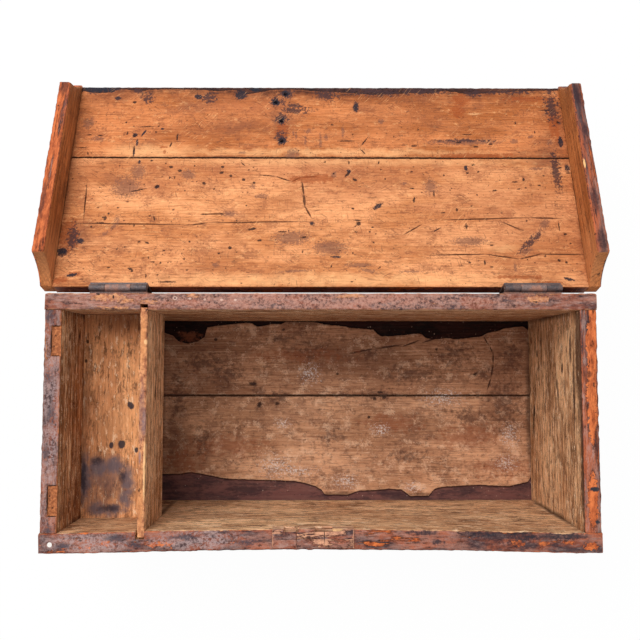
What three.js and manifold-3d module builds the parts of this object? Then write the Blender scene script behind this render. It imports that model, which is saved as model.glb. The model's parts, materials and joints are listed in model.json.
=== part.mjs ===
// Carpenter's tool chest: a dovetailed pine case with a shallow till and a battened lid
// on two butt hinges, shown with the lid swung right back. Millimetres, +Z up, +Y to the back.
// The origin is the middle of the case's footprint, on the surface that it stands on.
import * as THREE from 'three';
import { mergeVertices } from 'three/addons/utils/BufferGeometryUtils.js';
import Module from 'manifold-3d';

const wasm = await Module();
wasm.setup();

// Case
const caseLength = 724;
const caseWidth = 336;
const caseHeight = 244;
const frontThickness = 26;
const backThickness = 22;
const sideThickness = 22;
const bottomThickness = 16;
const rearBottomWidth = 136;
const bottomSeamGap = 1.4;
const edgeRound = 1.8;

// Tongue on the rear board of the bottom and of the lid, and its groove in the front board
const tongueLength = 7;
const tongueThicknessShare = 0.3;

// The front board has sprung inward along its top, and its end grain stands proud of the ends
const frontBow = 5.2;
const frontProud = 0.8;

// Dovetails: the ends carry the tails, the front and back carry the pins
const tailCount = 4;
const pinTip = 11;
const tailSlopeShare = 1 / 7;

// Clearances
const seatGap = 0.3;
const cutOverrun = 4;

// Till at the left end
const tillDepth = 93;
const tillFloorThickness = 11;
const tillSideThickness = 9.6;
const tillInsideLength = 103;
const tillHousingDepth = 7.6;
const tillSideEngagement = 3;
const tillSideFrontEngagement = 5;
const frontHousingSlack = 1.8;
const tillGrooveDepth = 4;

// Gains for the till lid's lost hinges, cut in the top of the left end
const gainWidth = 13;
const gainLength = 40;
const gainDepth = 1.6;
const gainBackInset = 21;
const gainFrontInset = 21;

// Wooden blocks let into the front board where a lock has been taken out
const patchDepth = 20;
const patchWall = 1.8;
const patchGap = 0.6;
const smallPatchStart = -63;
const smallPatchLength = 30.5;
const largePatchLength = 73.6;
const patchBridge = 1.2;
const largePatchSplitShare = 0.47;
const notchDepth = 3.6;
const notchHeight = 19;
const smallNotchLength = 16;
const largeNotchLength = 23;
const largeNotchInset = 23;

// Lid
const lidWidth = 334;
const lidThickness = 22;
const lidRearBoardShare = 0.617;
const lidSeamGap = 1.4;
const lidEndClearance = 1.7;
const lidOuterRound = 6;
const battenThickness = 16.4;
const battenDrop = 44;
const battenRun = 31;
const battenNose = 3.4;
const battenRound = 1.6;

// Butt hinges on the outer back face
const hingeLength = 76;
const hingeMiddleKnuckle = 34;
const hingeLeftInset = 54;
const hingeRightInset = 41;
const hingeBarrelRadius = 4.9;
const hingePinRadius = 2.2;
const hingePinTip = 1.2;
const hingeOffset = 8.2;
const hingeDrop = 12.8;
const hingeLeafThickness = 3;
const hingeLeafReach = 30;
const hingeLeafRound = 1.5;
const knuckleArmHeight = 5;

// Fasteners
const hingeScrewCount = 3;
const hingeScrewHeadRadius = 3.7;
const hingeScrewShankRadius = 1.9;
const hingeScrewLength = 17;
const hingeScrewMargin = 12;
const hingeScrewEdge = 8.5;
const battenScrewCount = 3;
const battenScrewHeadRadius = 4.6;
const battenScrewShankRadius = 2.3;
const battenScrewLength = 46;
const battenScrewMargin = 42;
const nailCount = 5;
const nailHeadRadius = 3.4;
const nailShankRadius = 1.7;
const nailHeadThickness = 1.2;
const nailLength = 44;
const nailRecess = 0.6;
const nailMargin = 48;
const screwRecess = 0.2;

// Facets
const bowSteps = 24;
const arcSteps = 3;
const coveSteps = 8;
const barrelSides = 24;
const fastenerSides = 10;

// Places worked out from the sizes above
const halfLength = caseLength / 2;
const halfWidth = caseWidth / 2;
const insideHalfLength = halfLength - sideThickness;
const frontInner = -halfWidth + frontThickness;
const backInner = halfWidth - backThickness;
const wallBase = bottomThickness + seatGap;
const wallHeight = caseHeight - wallBase;
const tillFloorTop = caseHeight - tillDepth;
const tillFloorUnder = tillFloorTop - tillFloorThickness;
const tillSideLeft = -insideHalfLength + tillInsideLength;
const tillSideRight = tillSideLeft + tillSideThickness;
const lidHalfLength = halfLength + lidEndClearance;
const lidUnder = caseHeight + seatGap;
const lidRear = halfWidth;
const lidFront = lidRear - lidWidth;
const lidSeam = lidRear - lidWidth * lidRearBoardShare;
const axisY = halfWidth + hingeOffset;
const axisZ = caseHeight - hingeDrop;
const leafInner = hingeOffset - seatGap;
const leafOuter = leafInner - hingeLeafThickness;
const rightAngle = Math.PI / 2;

// Colours of the old wood, the finish and the iron
const looks = {
  agedPine: { color: 0x9a6b42, roughness: 0.85, metalness: 0 },
  palePine: { color: 0xc98a4e, roughness: 0.8, metalness: 0 },
  wornFinish: { color: 0x6e4a42, roughness: 0.75, metalness: 0 },
  patchPine: { color: 0xa8754f, roughness: 0.85, metalness: 0 },
  oldIron: { color: 0x4a4348, roughness: 0.6, metalness: 0.9 },
  screwIron: { color: 0x3c3632, roughness: 0.65, metalness: 0.9 },
};

const axisFrames = {
  x: [new THREE.Vector3(0, 1, 0), new THREE.Vector3(0, 0, 1), new THREE.Vector3(1, 0, 0)],
  y: [new THREE.Vector3(0, 0, 1), new THREE.Vector3(1, 0, 0), new THREE.Vector3(0, 1, 0)],
};

// Turns a closed geometry into a solid that can be joined and cut
function toSolid(geometry) {
  const bare = geometry.clone();
  bare.deleteAttribute('normal');
  bare.deleteAttribute('uv');
  const merged = mergeVertices(bare);
  const vertProperties = new Float32Array(merged.attributes.position.array);
  const triVerts = new Uint32Array(merged.index.array);
  return new wasm.Manifold(new wasm.Mesh({ numProp: 3, vertProperties, triVerts }));
}

function toGeometry(solid) {
  const mesh = solid.getMesh();
  const geometry = new THREE.BufferGeometry();
  geometry.setAttribute('position', new THREE.BufferAttribute(new Float32Array(mesh.vertProperties), 3));
  geometry.setIndex(new THREE.BufferAttribute(new Uint32Array(mesh.triVerts), 1));
  geometry.computeVertexNormals();
  return geometry;
}

function boxSolid(xs, ys, zs) {
  const geometry = new THREE.BoxGeometry(xs[1] - xs[0], ys[1] - ys[0], zs[1] - zs[0]);
  geometry.translate((xs[0] + xs[1]) / 2, (ys[0] + ys[1]) / 2, (zs[0] + zs[1]) / 2);
  return toSolid(geometry);
}

// A rectangle with its own radius at each corner, anticlockwise from the lower left
function roundedRectangle(left, right, bottom, top, radii) {
  const [lowerLeft, lowerRight, upperRight, upperLeft] = radii;
  const shape = new THREE.Shape();
  shape.moveTo(left + lowerLeft, bottom);
  shape.lineTo(right - lowerRight, bottom);
  shape.absarc(right - lowerRight, bottom + lowerRight, lowerRight, -rightAngle, 0, false);
  shape.lineTo(right, top - upperRight);
  shape.absarc(right - upperRight, top - upperRight, upperRight, 0, rightAngle, false);
  shape.lineTo(left + upperLeft, top);
  shape.absarc(left + upperLeft, top - upperLeft, upperLeft, rightAngle, 2 * rightAngle, false);
  shape.lineTo(left, bottom + lowerLeft);
  shape.absarc(left + lowerLeft, bottom + lowerLeft, lowerLeft, 2 * rightAngle, 3 * rightAngle, false);
  return shape;
}

// Runs an outline along x or y. The outline's axes are the next two in turn: yz or zx
function runAlong(axis, shape, start, end, steps = 1) {
  const geometry = new THREE.ExtrudeGeometry(shape, {
    depth: end - start,
    steps,
    curveSegments: arcSteps,
    bevelEnabled: false,
  });
  geometry.translate(0, 0, start);
  geometry.applyMatrix4(new THREE.Matrix4().makeBasis(...axisFrames[axis]));
  return geometry;
}

function evenly(count, start, end) {
  return Array.from({ length: count }, (_, index) => start + ((end - start) * index) / (count - 1));
}

// A turned solid about its own axis, its outline given as radius and height along z
function turned(outline, sides) {
  const points = outline.map(([radius, height]) => new THREE.Vector2(radius, height));
  return new THREE.LatheGeometry(points, sides);
}

// LatheGeometry turns about y, so this frame lays its axis along the wanted direction
function layAxis(geometry, direction, place) {
  const turn = new THREE.Quaternion().setFromUnitVectors(new THREE.Vector3(0, 1, 0), direction);
  geometry.applyQuaternion(turn);
  geometry.translate(...place);
  return geometry;
}

// A countersunk wood screw: head face at zero, point along +y before it is laid
function screwOutline(headRadius, shankRadius, length, grow) {
  const headDepth = headRadius - shankRadius;
  return [
    [0, -grow],
    [headRadius + grow, -grow],
    [shankRadius + grow, headDepth + grow],
    [shankRadius + grow, length - shankRadius],
    [0, length + grow],
  ];
}

function screw(size, direction, place, grow = 0) {
  const outline = screwOutline(size.headRadius, size.shankRadius, size.length, grow);
  return layAxis(turned(outline, fastenerSides), direction, place);
}

// The hole takes the screw with clearance, and opens through the face over the head
function screwHole(size, direction, place) {
  const grown = toSolid(screw(size, direction, place, seatGap));
  const mouthRadius = size.headRadius + seatGap;
  const mouthOutline = [[0, -cutOverrun], [mouthRadius, -cutOverrun], [mouthRadius, 0], [0, 0]];
  const mouth = layAxis(turned(mouthOutline, fastenerSides), direction, place);
  return grown.add(toSolid(mouth));
}

function nail(place, grow = 0) {
  const outline = [
    [0, -grow],
    [nailHeadRadius + grow, -grow],
    [nailHeadRadius + grow, nailHeadThickness + grow],
    [nailShankRadius + grow, nailHeadThickness + grow],
    [nailShankRadius / 2 + grow, nailLength + grow],
    [0, nailLength + grow],
  ];
  return layAxis(turned(outline, fastenerSides), new THREE.Vector3(0, 0, 1), place);
}

function nailHole(place) {
  const mouthRadius = nailHeadRadius + seatGap;
  const mouthOutline = [[0, -cutOverrun], [mouthRadius, -cutOverrun], [mouthRadius, 0], [0, 0]];
  const mouth = layAxis(turned(mouthOutline, fastenerSides), new THREE.Vector3(0, 0, 1), place);
  return toSolid(nail(place, seatGap)).add(toSolid(mouth));
}

function cutAll(solid, cutters) {
  return cutters.reduce((rest, cutter) => rest.subtract(cutter), solid);
}

// How far the front board has sprung inward at a place along it and up it
function bowAt(x, z) {
  const halfSpan = insideHalfLength - sideThickness;
  const alongShare = Math.max(0, 1 - (x / halfSpan) ** 2);
  return frontBow * alongShare * ((z - wallBase) / wallHeight);
}

// One tail, as an outline in yz. facing is -1 at the front and 1 at the back
function tailOutline(facing, thickness, centre, grow, inward, outward) {
  const pitch = wallHeight / tailCount;
  const halfEnd = (pitch - pinTip) / 2;
  const halfAt = (depth) => halfEnd - (thickness - depth) * tailSlopeShare + grow;
  const yAt = (depth) => facing * (halfWidth - thickness + depth);
  const corners = [
    [yAt(-inward), centre - halfAt(0)],
    [yAt(0), centre - halfAt(0)],
    [yAt(thickness + outward), centre - halfAt(thickness + outward)],
    [yAt(thickness + outward), centre + halfAt(thickness + outward)],
    [yAt(0), centre + halfAt(0)],
    [yAt(-inward), centre + halfAt(0)],
  ];
  const ordered = facing > 0 ? corners : corners.reverse();
  return new THREE.Shape(ordered.map(([y, z]) => new THREE.Vector2(y, z)));
}

function tailCentres() {
  const pitch = wallHeight / tailCount;
  return evenly(tailCount, wallBase + pitch / 2, caseHeight - pitch / 2);
}

// The sockets between the pins of a front or back board, at both of its ends
function pinSockets(facing, thickness) {
  const sockets = [];
  for (const side of [-1, 1]) {
    const near = insideHalfLength - seatGap;
    const far = halfLength + frontProud + cutOverrun;
    const [start, end] = side > 0 ? [near, far] : [-far, -near];
    for (const centre of tailCentres()) {
      const outline = tailOutline(facing, thickness, centre, seatGap, cutOverrun, cutOverrun);
      sockets.push(toSolid(runAlong('x', outline, start, end)));
    }
  }
  return sockets;
}

function longBoardBlank(yStart, yEnd, proud, steps) {
  const radii = [0, 0, edgeRound, edgeRound];
  const shape = roundedRectangle(yStart, yEnd, wallBase, caseHeight, radii);
  return runAlong('x', shape, -halfLength - proud, halfLength + proud, steps);
}

// Housings for the till side and grooves for the till floor, for one long board
function tillHousings(facing, inner, slack) {
  const seat = inner + facing * tillHousingDepth;
  const ys = [Math.min(seat, inner - facing * cutOverrun), Math.max(seat, inner - facing * cutOverrun)];
  const housingXs = [tillSideLeft - seatGap - slack, tillSideRight + seatGap];
  const housingZs = [tillFloorUnder - seatGap, caseHeight + cutOverrun];
  const grooveSeat = inner + facing * tillGrooveDepth;
  const reach = inner - facing * cutOverrun;
  const grooveYs = [Math.min(grooveSeat, reach), Math.max(grooveSeat, reach)];
  const grooveZs = [tillFloorUnder - seatGap, tillFloorTop + seatGap];
  return [
    boxSolid(housingXs, ys, housingZs),
    boxSolid([-insideHalfLength, tillSideLeft], grooveYs, grooveZs),
  ];
}

// Lock repairs in the front board's top edge
const patchBlocks = (() => {
  const outerFace = -halfWidth + frontBow + patchWall;
  const innerFace = frontInner + frontBow + cutOverrun;
  const floor = caseHeight - patchDepth;
  const top = caseHeight + cutOverrun;
  const smallEnd = smallPatchStart + smallPatchLength;
  const largeStart = smallEnd + patchBridge;
  const largeEnd = largeStart + largePatchLength;
  const split = outerFace + (frontInner + frontBow - outerFace) * largePatchSplitShare;
  return {
    small: { xs: [smallPatchStart, smallEnd], ys: [outerFace, innerFace], zs: [floor, top] },
    largeOuter: { xs: [largeStart, largeEnd], ys: [outerFace, split], zs: [floor, top] },
    largeInner: { xs: [largeStart, largeEnd], ys: [split + patchGap, innerFace], zs: [floor, top] },
    large: { xs: [largeStart, largeEnd], ys: [outerFace, innerFace], zs: [floor, top] },
  };
})();

function lockNotches() {
  const ys = [frontInner + frontBow - notchDepth, frontInner + frontBow + cutOverrun];
  const zs = [caseHeight - notchHeight, caseHeight + cutOverrun];
  const smallEnd = patchBlocks.small.xs[1];
  const largeStart = patchBlocks.large.xs[0] + largeNotchInset;
  return [
    boxSolid([smallEnd - smallNotchLength, smallEnd + cutOverrun], ys, zs),
    boxSolid([largeStart, largeStart + largeNotchLength], ys, zs),
  ];
}

function grownBox({ xs, ys, zs }, gap) {
  return boxSolid([xs[0] - gap, xs[1] + gap], [ys[0] - gap, ys[1] + gap], [zs[0] - gap, zs[1] + gap]);
}

function frontBlank() {
  const geometry = longBoardBlank(-halfWidth, frontInner, frontProud, bowSteps);
  const places = geometry.attributes.position;
  for (let index = 0; index < places.count; index += 1) {
    const lean = bowAt(places.getX(index), places.getZ(index));
    places.setY(index, places.getY(index) + lean);
  }
  return toSolid(geometry);
}

function patch(block) {
  const fitted = frontBlank().intersect(grownBox(block, 0));
  return cutAll(fitted, lockNotches());
}

function nailPlaces() {
  const xs = evenly(nailCount, -halfLength + nailMargin, halfLength - nailMargin);
  return {
    front: xs.map((x) => [x, -halfWidth + frontThickness / 2, nailRecess]),
    back: xs.map((x) => [x, halfWidth - backThickness / 2, nailRecess]),
  };
}

function buildFrontBoard() {
  const cutters = [
    ...pinSockets(-1, frontThickness),
    ...tillHousings(-1, frontInner, frontHousingSlack),
    grownBox(patchBlocks.small, seatGap),
    grownBox(patchBlocks.large, seatGap),
    ...lockNotches(),
    ...nailPlaces().front.map(nailHole),
  ];
  return cutAll(frontBlank(), cutters);
}

const hingeCentres = {
  left: -halfLength + hingeLeftInset + hingeLength / 2,
  right: halfLength - hingeRightInset - hingeLength / 2,
};

const hingeScrewSize = {
  headRadius: hingeScrewHeadRadius,
  shankRadius: hingeScrewShankRadius,
  length: hingeScrewLength,
};

const battenScrewSize = {
  headRadius: battenScrewHeadRadius,
  shankRadius: battenScrewShankRadius,
  length: battenScrewLength,
};

// Screws through one leaf, driven towards the front: rise is 1 for the lid's leaf, -1 for the case's
function leafScrewPlaces(centre, rise) {
  const start = centre - hingeLength / 2 + hingeScrewMargin;
  const end = centre + hingeLength / 2 - hingeScrewMargin;
  const y = axisY - leafOuter - screwRecess;
  const z = axisZ + rise * (hingeLeafReach - hingeScrewEdge);
  return evenly(hingeScrewCount, start, end).map((x) => [x, y, z]);
}

const towardsFront = new THREE.Vector3(0, -1, 0);

function leafScrewHoles(rise) {
  return Object.values(hingeCentres).flatMap((centre) => (
    leafScrewPlaces(centre, rise).map((place) => screwHole(hingeScrewSize, towardsFront, place))
  ));
}

function buildBackBoard() {
  const cutters = [
    ...pinSockets(1, backThickness),
    ...tillHousings(1, backInner, 0),
    ...leafScrewHoles(-1),
    ...nailPlaces().back.map(nailHole),
  ];
  return cutAll(toSolid(longBoardBlank(backInner, halfWidth, frontProud, 1)), cutters);
}

function sideBlank(side) {
  const outer = side * halfLength;
  const inner = side * insideHalfLength;
  const [xStart, xEnd] = side > 0 ? [inner, outer] : [outer, inner];
  const radii = [0, edgeRound, edgeRound, 0];
  const shape = roundedRectangle(wallBase, caseHeight, xStart, xEnd, radii);
  const body = toSolid(runAlong('y', shape, frontInner + seatGap, backInner - seatGap));
  const tails = tailCentres().flatMap((centre) => [
    toSolid(runAlong('x', tailOutline(-1, frontThickness, centre, 0, cutOverrun, 0), xStart, xEnd)),
    toSolid(runAlong('x', tailOutline(1, backThickness, centre, 0, cutOverrun, 0), xStart, xEnd)),
  ]);
  return tails.reduce((joined, tail) => joined.add(tail), body);
}

function gains() {
  const xs = [-insideHalfLength - gainWidth, -insideHalfLength + cutOverrun];
  const zs = [caseHeight - gainDepth, caseHeight + cutOverrun];
  const backStart = backInner - gainBackInset - gainLength;
  const frontStart = frontInner + gainFrontInset;
  return [backStart, frontStart].map((start) => boxSolid(xs, [start, start + gainLength], zs));
}

function buildTillSide() {
  const shape = roundedRectangle(
    tillFloorUnder, caseHeight - seatGap, tillSideLeft, tillSideRight, [0, edgeRound, edgeRound, 0],
  );
  return runAlong('y', shape, frontInner - tillSideFrontEngagement, backInner + tillSideEngagement);
}

function buildTillFloor() {
  const reach = tillGrooveDepth - seatGap;
  const xs = [-insideHalfLength + seatGap, tillSideLeft - seatGap];
  return toGeometry(boxSolid(xs, [frontInner - reach, backInner + reach], [tillFloorUnder, tillFloorTop]));
}

// The tongue reaches forward from the rear board's face over its whole length
function seamTongue(seam, length, zs) {
  const centre = (zs[0] + zs[1]) / 2;
  const halfThickness = ((zs[1] - zs[0]) * tongueThicknessShare) / 2;
  const ys = [seam - tongueLength, seam + cutOverrun];
  return boxSolid([-length, length], ys, [centre - halfThickness, centre + halfThickness]);
}

function seamGroove(seam, length, zs) {
  const centre = (zs[0] + zs[1]) / 2;
  const halfHeight = ((zs[1] - zs[0]) * tongueThicknessShare) / 2 + seatGap;
  const ys = [seam - tongueLength - seatGap, seam + cutOverrun];
  const reach = length + cutOverrun;
  return boxSolid([-reach, reach], ys, [centre - halfHeight, centre + halfHeight]);
}

function bottomBlank(yStart, yEnd) {
  const shape = roundedRectangle(yStart, yEnd, 0, bottomThickness, [edgeRound, edgeRound, 0, 0]);
  return toSolid(runAlong('x', shape, -halfLength, halfLength));
}

function buildBottomFront(seam, nails) {
  const groove = seamGroove(seam, halfLength, [0, bottomThickness]);
  const blank = bottomBlank(-halfWidth, seam - bottomSeamGap);
  return toGeometry(cutAll(blank, [groove, ...nails.map(nailHole)]));
}

function buildBottomRear(seam, nails) {
  const tongue = seamTongue(seam, halfLength, [0, bottomThickness]);
  const blank = bottomBlank(seam, halfWidth).add(tongue);
  return toGeometry(cutAll(blank, nails.map(nailHole)));
}

// Lid pieces are drawn closed over the case, and the lid group carries them to the open pose
function battenScrewPlaces(side) {
  const x = side * (lidHalfLength + seatGap + battenThickness - screwRecess);
  const z = lidUnder + lidThickness / 2;
  const ys = evenly(battenScrewCount, lidFront + battenScrewMargin, lidRear - battenScrewMargin);
  return ys.map((y) => [x, y, z]);
}

function battenScrewDirection(side) {
  return new THREE.Vector3(-side, 0, 0);
}

function battenScrewHoles() {
  return [-1, 1].flatMap((side) => (
    battenScrewPlaces(side).map((place) => screwHole(battenScrewSize, battenScrewDirection(side), place))
  ));
}

function lidBlank(yStart, yEnd, radii) {
  const shape = roundedRectangle(yStart, yEnd, lidUnder, lidUnder + lidThickness, radii);
  return toSolid(runAlong('x', shape, -lidHalfLength, lidHalfLength));
}

function buildLidFront(battenHoles) {
  const groove = seamGroove(lidSeam, lidHalfLength, [lidUnder, lidUnder + lidThickness]);
  const blank = lidBlank(lidFront, lidSeam - lidSeamGap, [edgeRound, 0, 0, lidOuterRound]);
  return toGeometry(cutAll(blank, [groove, ...battenHoles]));
}

function buildLidRear(battenHoles) {
  const tongue = seamTongue(lidSeam, lidHalfLength, [lidUnder, lidUnder + lidThickness]);
  const blank = lidBlank(lidSeam, lidRear, [0, edgeRound, edgeRound, 0]).add(tongue);
  return toGeometry(cutAll(blank, [...battenHoles, ...leafScrewHoles(1)]));
}

// A batten: its lower edge hangs over the case's end, and coves sweep it up to the lid's edges
function battenOutline() {
  const nose = lidFront - battenNose;
  const top = lidUnder + lidThickness;
  const foot = lidUnder - battenDrop;
  const coveReachShare = 0.68;
  const coveRiseShare = 0.25;
  const shape = new THREE.Shape();
  const rearFoot = lidRear - battenRun;
  const frontFoot = nose + battenRun;
  shape.moveTo(frontFoot, foot);
  shape.lineTo(rearFoot, foot);
  shape.quadraticCurveTo(
    lidRear - battenRun * coveReachShare, lidUnder - battenDrop * coveRiseShare, lidRear, lidUnder,
  );
  shape.lineTo(lidRear, top - lidOuterRound);
  shape.absarc(lidRear - lidOuterRound, top - lidOuterRound, lidOuterRound, 0, rightAngle, false);
  shape.lineTo(nose + lidOuterRound, top);
  shape.absarc(nose + lidOuterRound, top - lidOuterRound, lidOuterRound, rightAngle, 2 * rightAngle, false);
  shape.lineTo(nose, lidUnder);
  shape.quadraticCurveTo(
    nose + battenRun * coveReachShare, lidUnder - battenDrop * coveRiseShare, frontFoot, foot,
  );
  return shape;
}

function buildBatten(side) {
  const inner = side * (lidHalfLength + seatGap);
  const outer = inner + side * battenThickness;
  const start = Math.min(inner, outer);
  const geometry = new THREE.ExtrudeGeometry(battenOutline(), {
    depth: battenThickness - 2 * battenRound,
    curveSegments: coveSteps,
    bevelEnabled: true,
    bevelThickness: battenRound,
    bevelSize: battenRound,
    bevelOffset: -battenRound,
    bevelSegments: arcSteps,
  });
  geometry.translate(0, 0, start + battenRound);
  geometry.applyMatrix4(new THREE.Matrix4().makeBasis(...axisFrames.x));
  const holes = battenScrewPlaces(side).map((place) => (
    screwHole(battenScrewSize, battenScrewDirection(side), place)
  ));
  return toGeometry(cutAll(toSolid(geometry), holes));
}

function layAlongHinge(geometry) {
  return layAxis(geometry, new THREE.Vector3(1, 0, 0), [0, axisY, axisZ]);
}

function knuckle(start, end) {
  const bore = hingePinRadius + seatGap;
  const outline = [
    [bore, start],
    [hingeBarrelRadius, start],
    [hingeBarrelRadius, end],
    [bore, end],
    [bore, start],
  ];
  return toSolid(layAlongHinge(turned(outline, barrelSides)));
}

// One leaf with its knuckles. rise is 1 for the lid's leaf and -1 for the case's
function buildLeaf(centre, rise) {
  const start = centre - hingeLength / 2;
  const end = centre + hingeLength / 2;
  const middleStart = centre - hingeMiddleKnuckle / 2;
  const middleEnd = centre + hingeMiddleKnuckle / 2;
  const spans = rise < 0
    ? [[middleStart + seatGap, middleEnd - seatGap]]
    : [[start, middleStart - seatGap], [middleEnd + seatGap, end]];
  const near = axisZ + rise * seatGap;
  const far = axisZ + rise * hingeLeafReach;
  const [bottom, top] = rise < 0 ? [far, near] : [near, far];
  const radii = rise < 0
    ? [hingeLeafRound, 0, 0, hingeLeafRound]
    : [0, hingeLeafRound, hingeLeafRound, 0];
  const plate = roundedRectangle(bottom, top, start, end, radii);
  let leaf = toSolid(runAlong('y', plate, axisY - leafInner, axisY - leafOuter));
  for (const [from, to] of spans) {
    const armZs = [axisZ + rise * seatGap, axisZ + rise * knuckleArmHeight].sort((a, b) => a - b);
    const arm = boxSolid([from, to], [axisY - leafInner, axisY - hingePinRadius - 2 * seatGap], armZs);
    leaf = leaf.add(arm).add(knuckle(from, to));
  }
  const boreRadius = hingePinRadius + seatGap;
  const bore = [
    [0, start - cutOverrun],
    [boreRadius, start - cutOverrun],
    [boreRadius, end + cutOverrun],
    [0, end + cutOverrun],
  ];
  const cutters = [
    toSolid(layAlongHinge(turned(bore, barrelSides))),
    ...leafScrewPlaces(centre, rise).map((place) => screwHole(hingeScrewSize, towardsFront, place)),
  ];
  return toGeometry(cutAll(leaf, cutters));
}

function buildPin(centre) {
  const start = centre - hingeLength / 2 - hingePinTip;
  const end = centre + hingeLength / 2 + hingePinTip;
  const outline = [
    [0, start],
    [hingePinRadius / 2, start],
    [hingePinRadius, start + hingePinTip],
    [hingePinRadius, end - hingePinTip],
    [hingePinRadius / 2, end],
    [0, end],
  ];
  return layAlongHinge(turned(outline, barrelSides));
}

// The lid swings back past upright until something behind the hinge line touches. A corner at
// this distance behind the axis plane and this far along it meets its own mirror place
function foldPastFlat(offset, reach) {
  const radius = Math.hypot(offset, reach);
  return Math.acos(-(offset - seatGap) / radius) - Math.atan2(reach, offset);
}

function lidOpening() {
  const leafStop = foldPastFlat(leafOuter, hingeLeafReach);
  const edgeStop = foldPastFlat(hingeOffset, hingeDrop + seatGap + lidThickness);
  return Math.PI + Math.min(leafStop, edgeStop);
}

function addPiece(group, name, geometry, look) {
  const mesh = new THREE.Mesh(geometry, new THREE.MeshStandardMaterial(look));
  mesh.name = name;
  group.add(mesh);
}

function addCase(group) {
  const nails = nailPlaces();
  const bottomSeam = halfWidth - rearBottomWidth;
  addPiece(group, 'front_board', toGeometry(buildFrontBoard()), looks.wornFinish);
  addPiece(group, 'back_board', toGeometry(buildBackBoard()), looks.wornFinish);
  addPiece(group, 'left_side_board', toGeometry(cutAll(sideBlank(-1), gains())), looks.wornFinish);
  addPiece(group, 'right_side_board', toGeometry(sideBlank(1)), looks.wornFinish);
  addPiece(group, 'bottom_board_front', buildBottomFront(bottomSeam, nails.front), looks.agedPine);
  addPiece(group, 'bottom_board_rear', buildBottomRear(bottomSeam, nails.back), looks.agedPine);
  addPiece(group, 'till_side', buildTillSide(), looks.palePine);
  addPiece(group, 'till_floor', buildTillFloor(), looks.palePine);
  addPiece(group, 'lock_patch_small', toGeometry(patch(patchBlocks.small)), looks.patchPine);
  addPiece(group, 'lock_patch_outer', toGeometry(patch(patchBlocks.largeOuter)), looks.patchPine);
  addPiece(group, 'lock_patch_inner', toGeometry(patch(patchBlocks.largeInner)), looks.patchPine);
  for (const [edge, places] of Object.entries(nails)) {
    places.forEach((place, index) => {
      addPiece(group, `bottom_nail_${edge}_${index + 1}`, nail(place), looks.screwIron);
    });
  }
}

function addLid(group) {
  const battenHoles = battenScrewHoles();
  addPiece(group, 'lid_board_front', buildLidFront(battenHoles), looks.palePine);
  addPiece(group, 'lid_board_rear', buildLidRear(battenHoles), looks.palePine);
  for (const [name, side] of [['left', -1], ['right', 1]]) {
    addPiece(group, `lid_batten_${name}`, buildBatten(side), looks.wornFinish);
    battenScrewPlaces(side).forEach((place, index) => {
      const geometry = screw(battenScrewSize, battenScrewDirection(side), place);
      addPiece(group, `batten_${name}_screw_${index + 1}`, geometry, looks.screwIron);
    });
  }
}

function addHinges(caseGroup, lidGroup) {
  for (const [name, centre] of Object.entries(hingeCentres)) {
    addPiece(caseGroup, `hinge_${name}_case_leaf`, buildLeaf(centre, -1), looks.oldIron);
    addPiece(lidGroup, `hinge_${name}_lid_leaf`, buildLeaf(centre, 1), looks.oldIron);
    addPiece(caseGroup, `hinge_${name}_pin`, buildPin(centre), looks.oldIron);
    for (const [half, group, rise] of [['case', caseGroup, -1], ['lid', lidGroup, 1]]) {
      leafScrewPlaces(centre, rise).forEach((place, index) => {
        const geometry = screw(hingeScrewSize, towardsFront, place);
        addPiece(group, `hinge_${name}_${half}_screw_${index + 1}`, geometry, looks.screwIron);
      });
    }
  }
}

const chest = new THREE.Group();
const lidTurn = new THREE.Group();
const lid = new THREE.Group();
lidTurn.position.set(0, axisY, axisZ);
lidTurn.rotation.x = -lidOpening();
lid.position.set(0, -axisY, -axisZ);
lidTurn.add(lid);
chest.add(lidTurn);
addCase(chest);
addLid(lid);
addHinges(chest, lid);

export default chest;
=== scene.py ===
import bpy
import json
import math
from mathutils import Matrix, Vector


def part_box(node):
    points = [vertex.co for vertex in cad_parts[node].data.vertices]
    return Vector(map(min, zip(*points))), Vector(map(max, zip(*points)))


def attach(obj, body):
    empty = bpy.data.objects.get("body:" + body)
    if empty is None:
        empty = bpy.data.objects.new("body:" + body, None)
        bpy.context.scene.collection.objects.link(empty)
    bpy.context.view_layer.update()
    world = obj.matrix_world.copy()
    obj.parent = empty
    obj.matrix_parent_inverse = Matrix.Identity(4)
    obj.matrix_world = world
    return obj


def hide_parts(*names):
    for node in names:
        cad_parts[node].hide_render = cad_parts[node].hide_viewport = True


# Old pine tool chest with its lid swung right back. Sizes are in millimetres, colours are linear
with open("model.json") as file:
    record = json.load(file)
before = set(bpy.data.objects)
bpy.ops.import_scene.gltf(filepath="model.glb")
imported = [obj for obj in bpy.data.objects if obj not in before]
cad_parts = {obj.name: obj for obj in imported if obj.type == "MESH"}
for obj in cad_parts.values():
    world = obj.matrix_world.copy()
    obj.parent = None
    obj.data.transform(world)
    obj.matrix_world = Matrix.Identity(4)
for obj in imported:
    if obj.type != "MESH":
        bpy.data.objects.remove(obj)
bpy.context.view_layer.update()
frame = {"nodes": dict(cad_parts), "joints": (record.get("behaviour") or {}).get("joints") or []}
nodes = frame["nodes"]
lidJoint = frame["joints"][0]
mm = 0.001

cameraSet = {
    "place": (-0.006549, 0.071442, 1.166481),
    "turnDegrees": (3.7956, -0.3081, 0.0166),
    "lens": 39.687,
}
lightSet = {
    "skyStrength": 0.68,
    "skyColour": (0.96, 0.98, 1.0),
    "windowPlace": (-1.0, 1.45, 2.5),
    "windowAim": (0, 0.1, 0.1),
    "windowSize": 2.2,
    "windowWatts": 66,
    "windowColour": (1.0, 0.97, 0.93),
    "floorColour": (0.93, 0.93, 0.93),
    "floorGlow": 0.97,
    "floorSize": 9.0,
    "floorDrop": 0.0006,
}

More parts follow.
